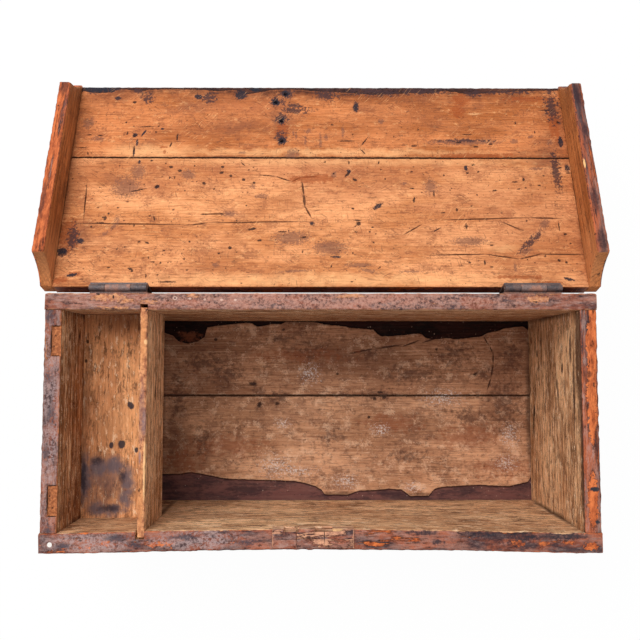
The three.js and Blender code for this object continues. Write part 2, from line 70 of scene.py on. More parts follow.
cameraData = bpy.data.cameras.new("chestCamera")
cameraData.lens = cameraSet["lens"]
chestCamera = bpy.data.objects.new("chestCamera", cameraData)
chestCamera.location = cameraSet["place"]
chestCamera.rotation_euler = [math.radians(turn) for turn in cameraSet["turnDegrees"]]
bpy.context.scene.collection.objects.link(chestCamera)
bpy.context.scene.camera = chestCamera
bpy.context.scene.view_settings.view_transform = "Standard"

windowData = bpy.data.lights.new("window", "AREA")
windowData.shape = "DISK"
windowData.size = lightSet["windowSize"]
windowData.energy = lightSet["windowWatts"]
windowData.color = lightSet["windowColour"]
window = bpy.data.objects.new("window", windowData)
window.location = lightSet["windowPlace"]
window.rotation_euler = (Vector(lightSet["windowAim"]) - window.location).to_track_quat("-Z", "Y").to_euler()
bpy.context.scene.collection.objects.link(window)


# Short ways to add shader nodes
def feed(tree, socket, value):
    if isinstance(value, bpy.types.NodeSocket):
        tree.links.new(value, socket)
    elif isinstance(value, (tuple, list)) and socket.type == "RGBA" and len(value) == 3:
        socket.default_value = (*value, 1.0)
    else:
        socket.default_value = value


def put(tree, kind, inputs=None, **settings):
    made = tree.nodes.new(kind)
    for key, value in settings.items():
        setattr(made, key, value)
    for key, value in (inputs or {}).items():
        feed(tree, made.inputs[key], value)
    return made


def calc(tree, operation, first, second=0.0, third=None, clamp=False):
    inputs = {0: first, 1: second}
    if third is not None:
        inputs[2] = third
    return put(tree, "ShaderNodeMath", inputs, operation=operation, use_clamp=clamp).outputs[0]


def times(tree, first, second):
    return calc(tree, "MULTIPLY", first, second)


def less(tree, first, second):
    return calc(tree, "SUBTRACT", first, second)


def split(tree, vector):
    return put(tree, "ShaderNodeSeparateXYZ", {0: vector}).outputs


def vectorCalc(tree, operation, first, second, third=None, output=0):
    inputs = {0: first, 1: second}
    if third is not None:
        inputs[2] = third
    return put(tree, "ShaderNodeVectorMath", inputs, operation=operation).outputs[output]


def most(tree, values):
    top = values[0]
    for value in values[1:]:
        top = calc(tree, "MAXIMUM", top, value)
    return top


def move(tree, vector, scale=(1, 1, 1), shift=(0, 0, 0), turn=(0, 0, 0)):
    inputs = {"Vector": vector, "Scale": scale, "Location": shift, "Rotation": turn}
    return put(tree, "ShaderNodeMapping", inputs).outputs[0]


def blendColour(tree, share, under, over):
    made = put(tree, "ShaderNodeMix", None, data_type="RGBA")
    feed(tree, made.inputs[0], share)
    feed(tree, made.inputs[6], under)
    feed(tree, made.inputs[7], over)
    return made.outputs[2]


def lay(tree, under, over, mask, share):
    return blendColour(tree, times(tree, mask, share), under, over)


def span(tree, value, low, high, outLow=0.0, outHigh=1.0):
    inputs = {"Value": value, "From Min": low, "From Max": high, "To Min": outLow, "To Max": outHigh}
    return put(tree, "ShaderNodeMapRange", inputs, interpolation_type="SMOOTHSTEP").outputs[0]


def speckle(tree, vector, scale, detail=3.0, rough=0.55):
    inputs = {"Vector": vector, "Scale": scale, "Detail": detail, "Roughness": rough}
    return put(tree, "ShaderNodeTexNoise", inputs).outputs["Fac"]


def blankTree(owner):
    owner.use_nodes = True
    owner.node_tree.nodes.clear()
    return owner.node_tree


def finishTree(tree, shader, kind="ShaderNodeOutputMaterial"):
    tree.links.new(shader.outputs[0], put(tree, kind).inputs["Surface"])


def newGroup(name, inputs, outputs):
    tree = bpy.data.node_groups.new(name, "ShaderNodeTree")
    for label, kind, value in inputs:
        made = tree.interface.new_socket(label, in_out="INPUT", socket_type=f"NodeSocket{kind}")
        if value is not None:
            made.default_value = value
    for label, kind in outputs:
        tree.interface.new_socket(label, in_out="OUTPUT", socket_type=f"NodeSocket{kind}")
    return tree, tree.nodes.new("NodeGroupInput").outputs, tree.nodes.new("NodeGroupOutput").inputs


def useGroup(tree, group, inputs):
    made = tree.nodes.new("ShaderNodeGroup")
    made.node_tree = group
    for key, value in inputs.items():
        feed(tree, made.inputs[key], value)
    return made.outputs


# Sawn pine: growth rings about a heart line that runs along x, fibres, open pores, slow changes of tone
pineGrain, given, result = newGroup(
    "pineGrain",
    [("Vector", "Vector", None), ("Heart", "Vector", (0, -300, 400)), ("Ring width", "Float", 4.0),
     ("Wander", "Float", 9.0)],
    [("Rings", "Float"), ("Fibres", "Float"), ("Pores", "Float"), ("Tone", "Float"), ("Height", "Float")],
)
tree = pineGrain
slow = speckle(tree, move(tree, given["Vector"], (0.0035, 0.012, 0.012)), 1.0, 3.0)
fine = speckle(tree, move(tree, given["Vector"], (0.02, 0.09, 0.09)), 1.0, 2.0)
offset = vectorCalc(tree, "SUBTRACT", given["Vector"], given["Heart"])
across = vectorCalc(tree, "MULTIPLY", offset, (0, 1, 1))
radius = vectorCalc(tree, "LENGTH", across, (0, 0, 0), output="Value")
wander = times(tree, less(tree, slow, 0.5), given["Wander"])
flutter = times(tree, less(tree, fine, 0.5), 2.2)
bent = calc(tree, "ADD", calc(tree, "ADD", radius, wander), flutter)
ringAge = calc(tree, "FRACT", calc(tree, "DIVIDE", bent, given["Ring width"]))
rings = times(tree, span(tree, ringAge, 0.25, 0.88), span(tree, ringAge, 0.9, 1.0, 1.0, 0.0))
longFibres = speckle(tree, move(tree, given["Vector"], (0.014, 0.42, 0.42)), 1.0, 5.0, 0.72)
shortFibres = speckle(tree, move(tree, given["Vector"], (0.07, 1.3, 1.3)), 1.0, 3.0, 0.65)
fibres = calc(tree, "ADD", times(tree, longFibres, 0.7), times(tree, shortFibres, 0.3))
poreNoise = speckle(tree, move(tree, given["Vector"], (0.045, 0.66, 0.66), (3, 9, 5)), 1.0, 4.0, 0.66)
pores = span(tree, poreNoise, 0.565, 0.635)
feed(tree, result["Rings"], rings)
feed(tree, result["Fibres"], fibres)
feed(tree, result["Pores"], pores)
feed(tree, result["Tone"], speckle(tree, move(tree, given["Vector"], (0.006, 0.02, 0.02), (7, 3, 1)), 1.0, 4.0, 0.6))
roughness = calc(tree, "ADD", times(tree, rings, 0.25), times(tree, fibres, 0.75))
feed(tree, result["Height"], less(tree, roughness, times(tree, pores, 0.3)))

# One stain, hole, knot or crack: 1 inside an ellipse, fading to 0 at its edge
woodMark, given, result = newGroup(
    "woodMark",
    [("Vector", "Vector", None), ("Centre", "Vector", (0, 0, 0)), ("Reach", "Vector", (5, 5, 8)),
     ("Turn", "Vector", (0, 0, 0)), ("Soft", "Float", 0.3)],
    [("Mask", "Float")],
)
inEllipse = put(woodMark, "ShaderNodeMapping", {
    "Vector": given["Vector"], "Location": given["Centre"], "Rotation": given["Turn"], "Scale": given["Reach"],
}, vector_type="TEXTURE").outputs[0]
fromCentre = vectorCalc(woodMark, "LENGTH", inEllipse, (0, 0, 0), output="Value")
inside = span(woodMark, fromCentre, less(woodMark, 1.0, given["Soft"]), 1.0, 1.0, 0.0)
feed(woodMark, result["Mask"], inside)

# Patchy dirt, whose patches are about Size long
grime, given, result = newGroup(
    "grime",
    [("Vector", "Vector", None), ("Size", "Float", 40.0), ("Low", "Float", 0.5), ("High", "Float", 0.66)],
    [("Mask", "Float")],
)
tree = grime
sized = calc(tree, "DIVIDE", 1.0, given["Size"])
spread = put(tree, "ShaderNodeVectorMath", {0: given["Vector"], "Scale": sized}, operation="SCALE").outputs[0]
broad = speckle(tree, spread, 1.0, 7.0, 0.66)
crumbs = speckle(tree, spread, 9.0, 4.0, 0.7)
mixed = calc(tree, "ADD", times(tree, broad, 0.68), times(tree, crumbs, 0.32))
feed(tree, result["Mask"], span(tree, mixed, given["Low"], given["High"]))

# Thin scratches in one direction
scratches, given, result = newGroup(
    "scratches",
    [("Vector", "Vector", None), ("Turn", "Float", 0.5), ("Length", "Float", 30.0), ("Width", "Float", 1.2),
     ("Share", "Float", 0.3)],
    [("Mask", "Float")],
)
tree = scratches
turned = put(tree, "ShaderNodeVectorRotate", {"Vector": given["Vector"], "Angle": given["Turn"]},
             rotation_type="Z_AXIS").outputs[0]
parts = split(tree, turned)
bowed = times(tree, speckle(tree, given["Vector"], 0.02, 2.0), 14.0)
drawn = put(tree, "ShaderNodeCombineXYZ", {
    0: calc(tree, "DIVIDE", parts[0], given["Length"]),
    1: calc(tree, "DIVIDE", calc(tree, "ADD", parts[1], bowed), given["Width"]), 2: parts[2],
}).outputs[0]
lines = put(tree, "ShaderNodeTexNoise", {"Vector": drawn, "Scale": 1.0, "Detail": 0.0},
            noise_dimensions="2D").outputs["Fac"]
limit = less(tree, 0.92, times(tree, given["Share"], 0.3))
drawnLines = span(tree, lines, limit, calc(tree, "ADD", limit, 0.05))
crowdShift = put(tree, "ShaderNodeCombineXYZ", {0: times(tree, given["Turn"], 400.0)}).outputs[0]
crowdPlace = vectorCalc(tree, "ADD", given["Vector"], crowdShift)
crowd = span(tree, speckle(tree, crowdPlace, 0.016, 3.0), 0.46, 0.58)
feed(tree, result["Mask"], times(tree, drawnLines, crowd))

# Wear along the edges of a board, from the board's own lowest and highest corners
edgeWear, given, result = newGroup(
    "edgeWear",
    [("Vector", "Vector", None), ("Low", "Vector", (0, 0, 0)), ("High", "Vector", (1, 1, 1)),
     ("Reach", "Float", 4.0), ("Ragged", "Float", 5.0), ("Scale", "Float", 0.16)],
    [("Mask", "Float")],
)
tree = edgeWear
toLow = vectorCalc(tree, "SUBTRACT", given["Vector"], given["Low"])
toHigh = vectorCalc(tree, "SUBTRACT", given["High"], given["Vector"])
near = split(tree, vectorCalc(tree, "MINIMUM", toLow, toHigh))
lesser = calc(tree, "MINIMUM", near[0], near[1])
greater = calc(tree, "MAXIMUM", near[0], near[1])
middle = calc(tree, "MAXIMUM", lesser, calc(tree, "MINIMUM", greater, near[2]))
rough = less(tree, speckle(tree, given["Vector"], given["Scale"], 6.0, 0.72), 0.5)
ragged = calc(tree, "MULTIPLY_ADD", rough, times(tree, given["Ragged"], 2.0), middle)
worn = span(tree, ragged, times(tree, given["Reach"], 0.6), given["Reach"], 1.0, 0.0)
feed(tree, result["Mask"], worn)

# Knocks from tools: short pits scattered over a face, in loose clusters
toolDents, given, result = newGroup(
    "toolDents",
    [("Vector", "Vector", None), ("Spacing", "Float", 14.0), ("Size", "Float", 0.1), ("Share", "Float", 0.35)],
    [("Mask", "Float")],
)
tree = toolDents
parts = split(tree, given["Vector"])
onFace = put(tree, "ShaderNodeCombineXYZ", {0: parts[0], 1: calc(tree, "ADD", parts[1], parts[2])}).outputs[0]
wobble = put(tree, "ShaderNodeTexNoise", {"Vector": given["Vector"], "Scale": 0.45, "Detail": 2.0})
shaken = vectorCalc(tree, "MULTIPLY_ADD", wobble.outputs["Color"], (3.4, 3.4, 0), onFace)
cells = put(tree, "ShaderNodeTexVoronoi", {"Vector": shaken, "Scale": calc(tree, "DIVIDE", 1.0, given["Spacing"])},
            voronoi_dimensions="2D")
lot = put(tree, "ShaderNodeSeparateColor", {0: cells.outputs["Color"]}).outputs
size = times(tree, given["Size"], calc(tree, "ADD", lot[1], 0.3))
pit = span(tree, cells.outputs["Distance"], times(tree, size, 0.5), size, 1.0, 0.0)
crowd = span(tree, speckle(tree, given["Vector"], 0.013, 2.0), 0.4, 0.62, 0.35, 1.6)
chosen = calc(tree, "LESS_THAN", lot[0], times(tree, given["Share"], crowd))
feed(tree, result["Mask"], times(tree, pit, chosen))

# Old varnish over paint: red brown to nearly black, dusty in places, and worn through in patches
oldFinish, given, result = newGroup(
    "oldFinish",
    [("Vector", "Vector", None), ("Worn", "Float", 0.4), ("Dusty", "Float", 0.5), ("Red", "Float", 0.3)],
    [("Color", "Color"), ("Bare", "Float"), ("Rim", "Float"), ("Height", "Float")],
)
tree = oldFinish
clouds = speckle(tree, move(tree, given["Vector"], (0.014, 0.04, 0.04)), 1.0, 6.0, 0.64)
flecks = speckle(tree, move(tree, given["Vector"], (0.09, 0.2, 0.2), (4, 8, 2)), 1.0, 7.0, 0.72)
streaks = speckle(tree, move(tree, given["Vector"], (0.022, 0.6, 0.6), (9, 1, 5)), 1.0, 4.0, 0.6)
reds = speckle(tree, move(tree, given["Vector"], (0.03, 0.07, 0.07), (17, 2, 6)), 1.0, 5.0, 0.66)
grit = speckle(tree, given["Vector"], 1.1, 3.0, 0.66)
coat = blendColour(tree, span(tree, clouds, 0.42, 0.58), (0.085, 0.05, 0.052), (0.37, 0.165, 0.12))
coat = lay(tree, coat, (0.06, 0.032, 0.03), span(tree, streaks, 0.5, 0.62), 0.5)
redShare = times(tree, span(tree, reds, 0.44, 0.6), given["Red"])
coat = blendColour(tree, redShare, coat, (0.46, 0.11, 0.04))
dust = times(tree, span(tree, flecks, 0.48, 0.62), given["Dusty"])
coat = lay(tree, coat, (0.47, 0.31, 0.27), dust, 0.5)
coat = lay(tree, coat, (0.03, 0.018, 0.02), span(tree, flecks, 0.45, 0.36), 0.85)
coat = lay(tree, coat, (0.028, 0.016, 0.018), span(tree, grit, 0.52, 0.68), 0.5)
patches = speckle(tree, move(tree, given["Vector"], (0.016, 0.055, 0.055), (11, 5, 3)), 1.0, 8.0, 0.72)
threshold = less(tree, 0.72, times(tree, given["Worn"], 0.4))
bare = span(tree, patches, threshold, calc(tree, "ADD", threshold, 0.025))
rim = span(tree, patches, less(tree, threshold, 0.03), threshold)
feed(tree, result["Color"], coat)
feed(tree, result["Bare"], bare)
feed(tree, result["Rim"], rim)
raised = less(tree, times(tree, flecks, 0.6), times(tree, bare, 0.6))
feed(tree, result["Height"], raised)
print("effects made")

lidTurn = math.radians(lidJoint["range_deg"][1] - 180)
hingeLine = Vector(lidJoint["pos_m"]) / mm
lidSet = {
    "rearEdge": 168.0,
    "underside": 244.3,
    "width": 334.0,
    "length": 727.4,
    "thickness": 22.0,
    "rearShare": 0.617,
    "seamGap": 1.4,
}
lidAxis = Vector((0, lidSet["rearEdge"] - hingeLine.y, lidSet["underside"] - hingeLine.z))
lidShift = lidAxis - Matrix.Rotation(lidTurn, 3, "X") @ hingeLine
lidWorld = Matrix.Translation(hingeLine * mm) @ Matrix.Rotation(-lidTurn, 4, "X") @ Matrix.Translation(-lidAxis * mm)
woodRelief = {"strength": 0.7, "distance": 0.0012}
ironRelief = {"strength": 0.5, "distance": 0.0006}
spotEdge, spotFade = 0.375, 1.6  # what a painted spot says on its outline, and where it ends
tongueSet = {"short": 2, "width": 7, "height": 0.3, "middle": 0.55}
mergeReach, flatAngle, smoothAngle = 0.002, math.radians(1), math.radians(40)
touch = 0.001  # levels closer than this are the same
knockRoom = 0.2  # how far a knock may stand out past its board
halfLength, wallBase, topLevel = 362.8, 16.3, 244  # of the case boards
seedSpread = (217, 31, 17)
grainTurns = {"x": (0, 0, 0), "y": (0, 0, -math.pi / 2), "z": (0, math.pi / 2, 0)}


def markMask(tree, vector, ellipses, soft):
    covered = None
    for centre, reach, *turn in ellipses:
        mask = useGroup(tree, woodMark, {
            "Vector": vector, "Centre": centre, "Reach": reach,
            "Turn": (0, 0, math.radians(sum(turn))), "Soft": soft,
        })["Mask"]
        covered = mask if covered is None else calc(tree, "MAXIMUM", covered, mask)
    return covered


def shake(tree, vector, scale, reach):
    bumps = put(tree, "ShaderNodeTexNoise", {"Vector": vector, "Scale": scale, "Detail": 5.0, "Roughness": 0.68})
    centred = vectorCalc(tree, "SUBTRACT", bumps.outputs["Color"], (0.5, 0.5, 0.5))
    return vectorCalc(tree, "MULTIPLY_ADD", centred, (2 * reach, 2 * reach, 2 * reach), vector)


def flat(spots, level=0.0, depth=8.0):
    # spots on a level face: x, y, half length, half width, and a turn in degrees where there is one
    return [((x, y, level), (along, across, depth), *turn) for x, y, along, across, *turn in spots]


def beyondLine(tree, along, across, outline):
    # how far a point lies beyond a line drawn through points, counted along "sign"
    points, sign = outline["points"], outline["sign"]
    low, high = points[0][0], points[-1][0]
    base = min(point[1] for point in points)
    height = max(point[1] for point in points) - base
    share = calc(tree, "DIVIDE", calc(tree, "SUBTRACT", along, low), high - low, clamp=True)
    curve = tree.nodes.new("ShaderNodeFloatCurve")
    drawn = curve.mapping.curves[0].points
    shares = [((x - low) / (high - low), (y - base) / height) for x, y in points]
    drawn[0].location, drawn[1].location = shares[0], shares[-1]
    for x, y in shares[1:-1]:
        drawn.new(x, y)
    for point in drawn:
        point.handle_type = "VECTOR"
    curve.mapping.update()
    feed(tree, curve.inputs["Value"], share)
    line = calc(tree, "MULTIPLY_ADD", curve.outputs[0], height, base)
    return times(tree, less(tree, across, line), sign)


def coatFace(tree, look, local, grainVector, colour, height):
    coat = look["coat"]
    parts = split(tree, local)
    sides = []
    for axis, plane, depth in coat["faces"]:
        if plane > 0:
            sides.append(span(tree, parts[axis], plane - depth - 0.3, plane - depth))
        else:
            sides.append(span(tree, parts[axis], plane + depth, plane + depth + 0.3, 1.0, 0.0))
    covered = most(tree, sides)
    drawn = move(tree, grainVector, coat.get("stretch", (1, 1, 1)))
    old = useGroup(tree, oldFinish, {
        "Vector": drawn, "Worn": coat["worn"], "Dusty": coat["dusty"], "Red": coat.get("red", 0.3),
    })
    edges = useGroup(tree, edgeWear, {
        "Vector": local, "Low": look["low"], "High": look["high"], "Reach": coat["edgeReach"],
        "Ragged": coat["edgeRagged"],
    })
    bare = calc(tree, "MAXIMUM", old["Bare"], times(tree, edges["Mask"], coat["edgeShare"]))
    rim = old["Rim"]
    if coat.get("bareSpots"):
        spots = markMask(tree, shake(tree, local, 0.2, 9.0), coat["bareSpots"], 0.5)
        bare = calc(tree, "MAXIMUM", bare, span(tree, spots, 0.45, 0.6))
        rim = calc(tree, "MAXIMUM", rim, span(tree, spots, 0.2, 0.4))
    if coat.get("keptSpots"):
        spots = markMask(tree, shake(tree, local, 0.16, 4.0), coat["keptSpots"], 0.3)
        bare = times(tree, bare, less(tree, 1.0, spots))
    bareTone = speckle(tree, drawn, 0.17, 6.0, 0.74)
    bareColour = blendColour(tree, span(tree, bareTone, 0.42, 0.6), coat["bareDark"], coat["bareLight"])
    bareColour = blendColour(tree, span(tree, bareTone, 0.42, 0.33), bareColour, (0.045, 0.016, 0.01))
    surface = blendColour(tree, times(tree, rim, 0.7), old["Color"], (0.03, 0.012, 0.01))
    surface = blendColour(tree, bare, surface, bareColour)
    colour = blendColour(tree, covered, colour, surface)
    return colour, blendColour(tree, covered, height, times(tree, old["Height"], 1.2))


def straightened(tree, local, bow):
    # the place on a bowed wall that its marks are put by, as if the wall was straight
    spot = split(tree, local)
    alongShare = calc(tree, "DIVIDE", spot[0], bow["halfSpan"])
    alongShare = calc(tree, "SUBTRACT", 1.0, times(tree, alongShare, alongShare), clamp=True)
    upShare = calc(tree, "DIVIDE", less(tree, spot[2], bow["base"]), bow["height"])
    lean = times(tree, times(tree, alongShare, upShare), -bow["reach"])
    leanVector = put(tree, "ShaderNodeCombineXYZ", {1: lean}).outputs[0]
    return vectorCalc(tree, "ADD", local, leanVector)


def plainPine(tree, wood, grainVector, seedShift):
    heart = (0, seedShift[1] + wood["heart"][0], seedShift[2] + wood["heart"][1])
    grain = useGroup(tree, pineGrain, {
        "Vector": grainVector, "Heart": heart, "Ring width": wood["ringWidth"], "Wander": wood["wander"],
    })
    colour = blendColour(tree, span(tree, grain["Tone"], 0.4, 0.6), wood["dark"], wood["light"])
    colour = lay(tree, colour, wood["ring"], grain["Rings"], wood["ringShare"])
    fibreShare = times(tree, span(tree, grain["Fibres"], 0.5, 0.6), wood["fibreShare"])
    colour = blendColour(tree, fibreShare, colour, wood["fibre"])
    bleach = times(tree, span(tree, grain["Fibres"], 0.49, 0.4), wood["bleachShare"])
    colour = blendColour(tree, bleach, colour, wood["bleach"])
    poreShare = times(tree, grain["Pores"], wood["poreShare"])
    colour = blendColour(tree, poreShare, colour, wood["pore"])
    return colour, grain["Height"]


def flaked(tree, lost, local, grainVector, colour):
    # where the surface has flaked off beyond a line, with a pale lip before it and a dark rim
    topShare = span(tree, split(tree, local)[2], lost["level"] - 4.0, lost["level"] - 3.0)
    parts = split(tree, shake(tree, local, 0.12, lost["ragged"]))
    beyond = beyondLine(tree, parts[0], parts[1], lost)
    mask = span(tree, beyond, -0.5, 0.5)
    rim = times(tree, span(tree, beyond, -1.0, 0.4), span(tree, beyond, 3.0, 0.8))
    within = useGroup(tree, grime, {
        "Vector": move(tree, grainVector, (0.3, 1, 1)), "Size": 26, "Low": 0.44, "High": 0.58,
    })
    under = blendColour(tree, within["Mask"], lost["colour"], lost["deep"])
    lip = times(tree, span(tree, beyond, -3.2, -1.2), span(tree, beyond, -0.2, -1.0))
    mask, rim, lip = [times(tree, part, topShare) for part in (mask, rim, lip)]
    colour = lay(tree, colour, lost["lip"], lip, 0.4)
    colour = lay(tree, colour, under, mask, lost["share"])
    return lay(tree, colour, lost["rim"], rim, 0.8), mask


def withMark(tree, paint, grainVector, colour):
    # marks painted on the mesh, made ragged here
    amount = put(tree, "ShaderNodeAttribute", None, attribute_name=paint["attribute"]).outputs["Fac"]
    amount = times(tree, amount, paint.get("gain", 1.0))
    bits = less(tree, speckle(tree, grainVector, paint["scale"], 6.0, 0.72), 0.5)
    broken = calc(tree, "MULTIPLY_ADD", bits, paint["ragged"], amount)
    mask = span(tree, broken, spotEdge - paint["soft"], spotEdge + paint["soft"])
    mask = times(tree, mask, span(tree, amount, 0.0, 0.08))
    return lay(tree, colour, paint["colour"], mask, paint["share"])


def woodFinish(name, look):
    material = bpy.data.materials.new(name)
    tree = blankTree(material)
    place = put(tree, "ShaderNodeTexCoord")
    onLid = look.get("onLid", False)
    turn = (lidTurn, 0, 0) if onLid else (0, 0, 0)
    shift = tuple(lidShift) if onLid else (0, 0, 0)
    local = move(tree, place.outputs["Object"], (1 / mm,) * 3, shift, turn)
    if look.get("bow"):
        local = straightened(tree, local, look["bow"])
    seedShift = tuple(look["seed"] * spread for spread in seedSpread)
    grainVector = move(tree, local, (1, 1, 1), seedShift, grainTurns[look["grain"]])
    wood = look["wood"]
    colour, height = plainPine(tree, wood, grainVector, seedShift)
    for dirt in look.get("grimes", []):  # patchy dirt, drawn out along the grain
        mask = useGroup(tree, grime, {
            "Vector": move(tree, grainVector, dirt.get("stretch", (0.45, 1, 1)), dirt.get("shift", (0, 0, 0))),
            "Size": dirt["size"], "Low": dirt["low"], "High": dirt["high"],
        })["Mask"]
        colour = lay(tree, colour, dirt["colour"], mask, dirt["share"])
    for wash in look.get("washes", []):  # broad soft changes of tone
        shaken = shake(tree, local, wash.get("scale", 0.025), wash["ragged"])
        mask = markMask(tree, shaken, wash["spots"], wash["soft"])
        colour = lay(tree, colour, wash["colour"], mask, wash["share"])
    if look.get("coat"):
        colour, height = coatFace(tree, look, local, grainVector, colour, height)
    cuts = []
    for stain in look.get("stains", []):
        shaken = shake(tree, local, stain.get("scale", 0.16), stain["ragged"])
        mask = markMask(tree, shaken, stain["spots"], stain["soft"])
        if stain.get("without"):
            kept = markMask(tree, shake(tree, local, 0.07, stain["ragged"]), stain["without"], 0.4)
            mask = times(tree, mask, less(tree, 1.0, kept))
        if stain.get("broken"):
            holes = span(tree, speckle(tree, grainVector, 0.3, 6.0, 0.74), 0.4, 0.56)
            mask = times(tree, mask, span(tree, stain["broken"], 0.0, 1.0, 1.0, holes))
        colour = lay(tree, colour, stain["colour"], mask, stain["share"])
        if stain.get("pit"):
            cuts.append(times(tree, mask, -stain["pit"]))
    for lost in look.get("lost", []):
        colour, mask = flaked(tree, lost, local, grainVector, colour)
        cuts.append(times(tree, mask, -0.8))
    for paint in look.get("painted", []):
        colour = withMark(tree, paint, grainVector, colour)
    for scratch in look.get("scratches", []):
        mask = useGroup(tree, scratches, {
            "Vector": local, "Turn": math.radians(scratch["turn"]), "Length": scratch["length"],
            "Width": scratch["width"], "Share": scratch["amount"],
        })["Mask"]
        colour = lay(tree, colour, scratch["colour"], mask, scratch["share"])
    for dent in look.get("dents", []):
        mask = useGroup(tree, toolDents, {
            "Vector": move(tree, grainVector, dent.get("stretch", (1, 1, 1)), dent.get("shift", (0, 0, 0))),
            "Spacing": dent["spacing"], "Size": dent["size"], "Share": dent["chance"],
        })["Mask"]
        colour = lay(tree, colour, dent["colour"], mask, dent["share"])
        cuts.append(times(tree, mask, -dent["pit"]))
    for cut in cuts:
        height = calc(tree, "ADD", height, cut)
    bump = put(tree, "ShaderNodeBump", {
        "Height": height, "Strength": woodRelief["strength"], "Distance": woodRelief["distance"],
    })
    shader = put(tree, "ShaderNodeBsdfPrincipled", {"Base Color": colour, "Normal": bump.outputs[0]})
    shader.inputs["Roughness"].default_value = wood["roughness"]
    shader.inputs["Specular IOR Level"].default_value = wood["sheen"]
    finishTree(tree, shader)
    return material


def dress(names, material):
    for name in names:
        slots = nodes[name].material_slots
        if slots:
            for materialSlot in slots:
                materialSlot.material = material
        else:
            nodes[name].data.materials.append(material)


# A board shaped as a fine grid on its show face: marks are painted on it, and sunk into it by weight
def spotValues(spots, least, grid):
    # 1 at the middle of a spot, spotEdge on its outline, 0 further out
    values = {}
    for x, y, along, over, *turn in spots:
        turned = math.radians(sum(turn))
        along, over = max(along, least), max(over, least)
        reach = max(along, over) * spotFade
        firstColumn = max(0, int((x - reach - grid["lowX"]) / grid["stepX"]))
        lastColumn = min(grid["columns"], int((x + reach - grid["lowX"]) / grid["stepX"]) + 1)
        firstRow = max(0, int((y - reach - grid["lowY"]) / grid["stepY"]))
        lastRow = min(grid["rows"], int((y + reach - grid["lowY"]) / grid["stepY"]) + 1)
        for row in range(firstRow, lastRow + 1):
            for column in range(firstColumn, lastColumn + 1):
                dx = grid["lowX"] + column * grid["stepX"] - x
                dy = grid["lowY"] + row * grid["stepY"] - y
                u = (dx * math.cos(turned) + dy * math.sin(turned)) / along
                v = (dy * math.cos(turned) - dx * math.sin(turned)) / over
                value = 1 - math.hypot(u, v) / spotFade
                index = row * (grid["columns"] + 1) + column
                if value > values.get(index, 0.0):
                    values[index] = value
    return values


def displace(board, strength, middle, texture=None, direction="Z", group=""):
    modifier = board.modifiers.new("displace", "DISPLACE")
    modifier.direction = direction
    modifier.vertex_group = group
    if texture:
        modifier.texture = texture
        modifier.texture_coords = "LOCAL"
    modifier.mid_level = middle
    modifier.strength = strength
    bpy.ops.object.modifier_apply(modifier=modifier.name)


def sinkBy(board, weights, depth, texture=None, direction="Z"):
    group = board.vertex_groups.new(name="sunk")
    for index, weight in weights.items():
        group.add([index], weight, "REPLACE")
    displace(board, -depth, 0, texture, direction, group.name)
    board.vertex_groups.remove(board.vertex_groups["sunk"])


def cloudTexture(name, size, contrast=1.0, bright=1.0):
    texture = bpy.data.textures.new(name, "CLOUDS")
    texture.noise_scale = size
    texture.noise_depth = 3
    texture.contrast = contrast
    texture.intensity = bright
    return texture


def roundEdges(board, chosen, radius, steps):
    # rounds the edges whose two ends pass the test
    bpy.ops.mesh.select_all(action="DESELECT")
    bpy.ops.object.mode_set(mode="OBJECT")
    corners = board.data.vertices
    for edge in board.data.edges:
        edge.select = all(chosen(corners[index].co) for index in edge.vertices)
    bpy.ops.object.mode_set(mode="EDIT")
    bpy.ops.mesh.bevel(offset=radius, segments=steps, affect="EDGES", clamp_overlap=False)


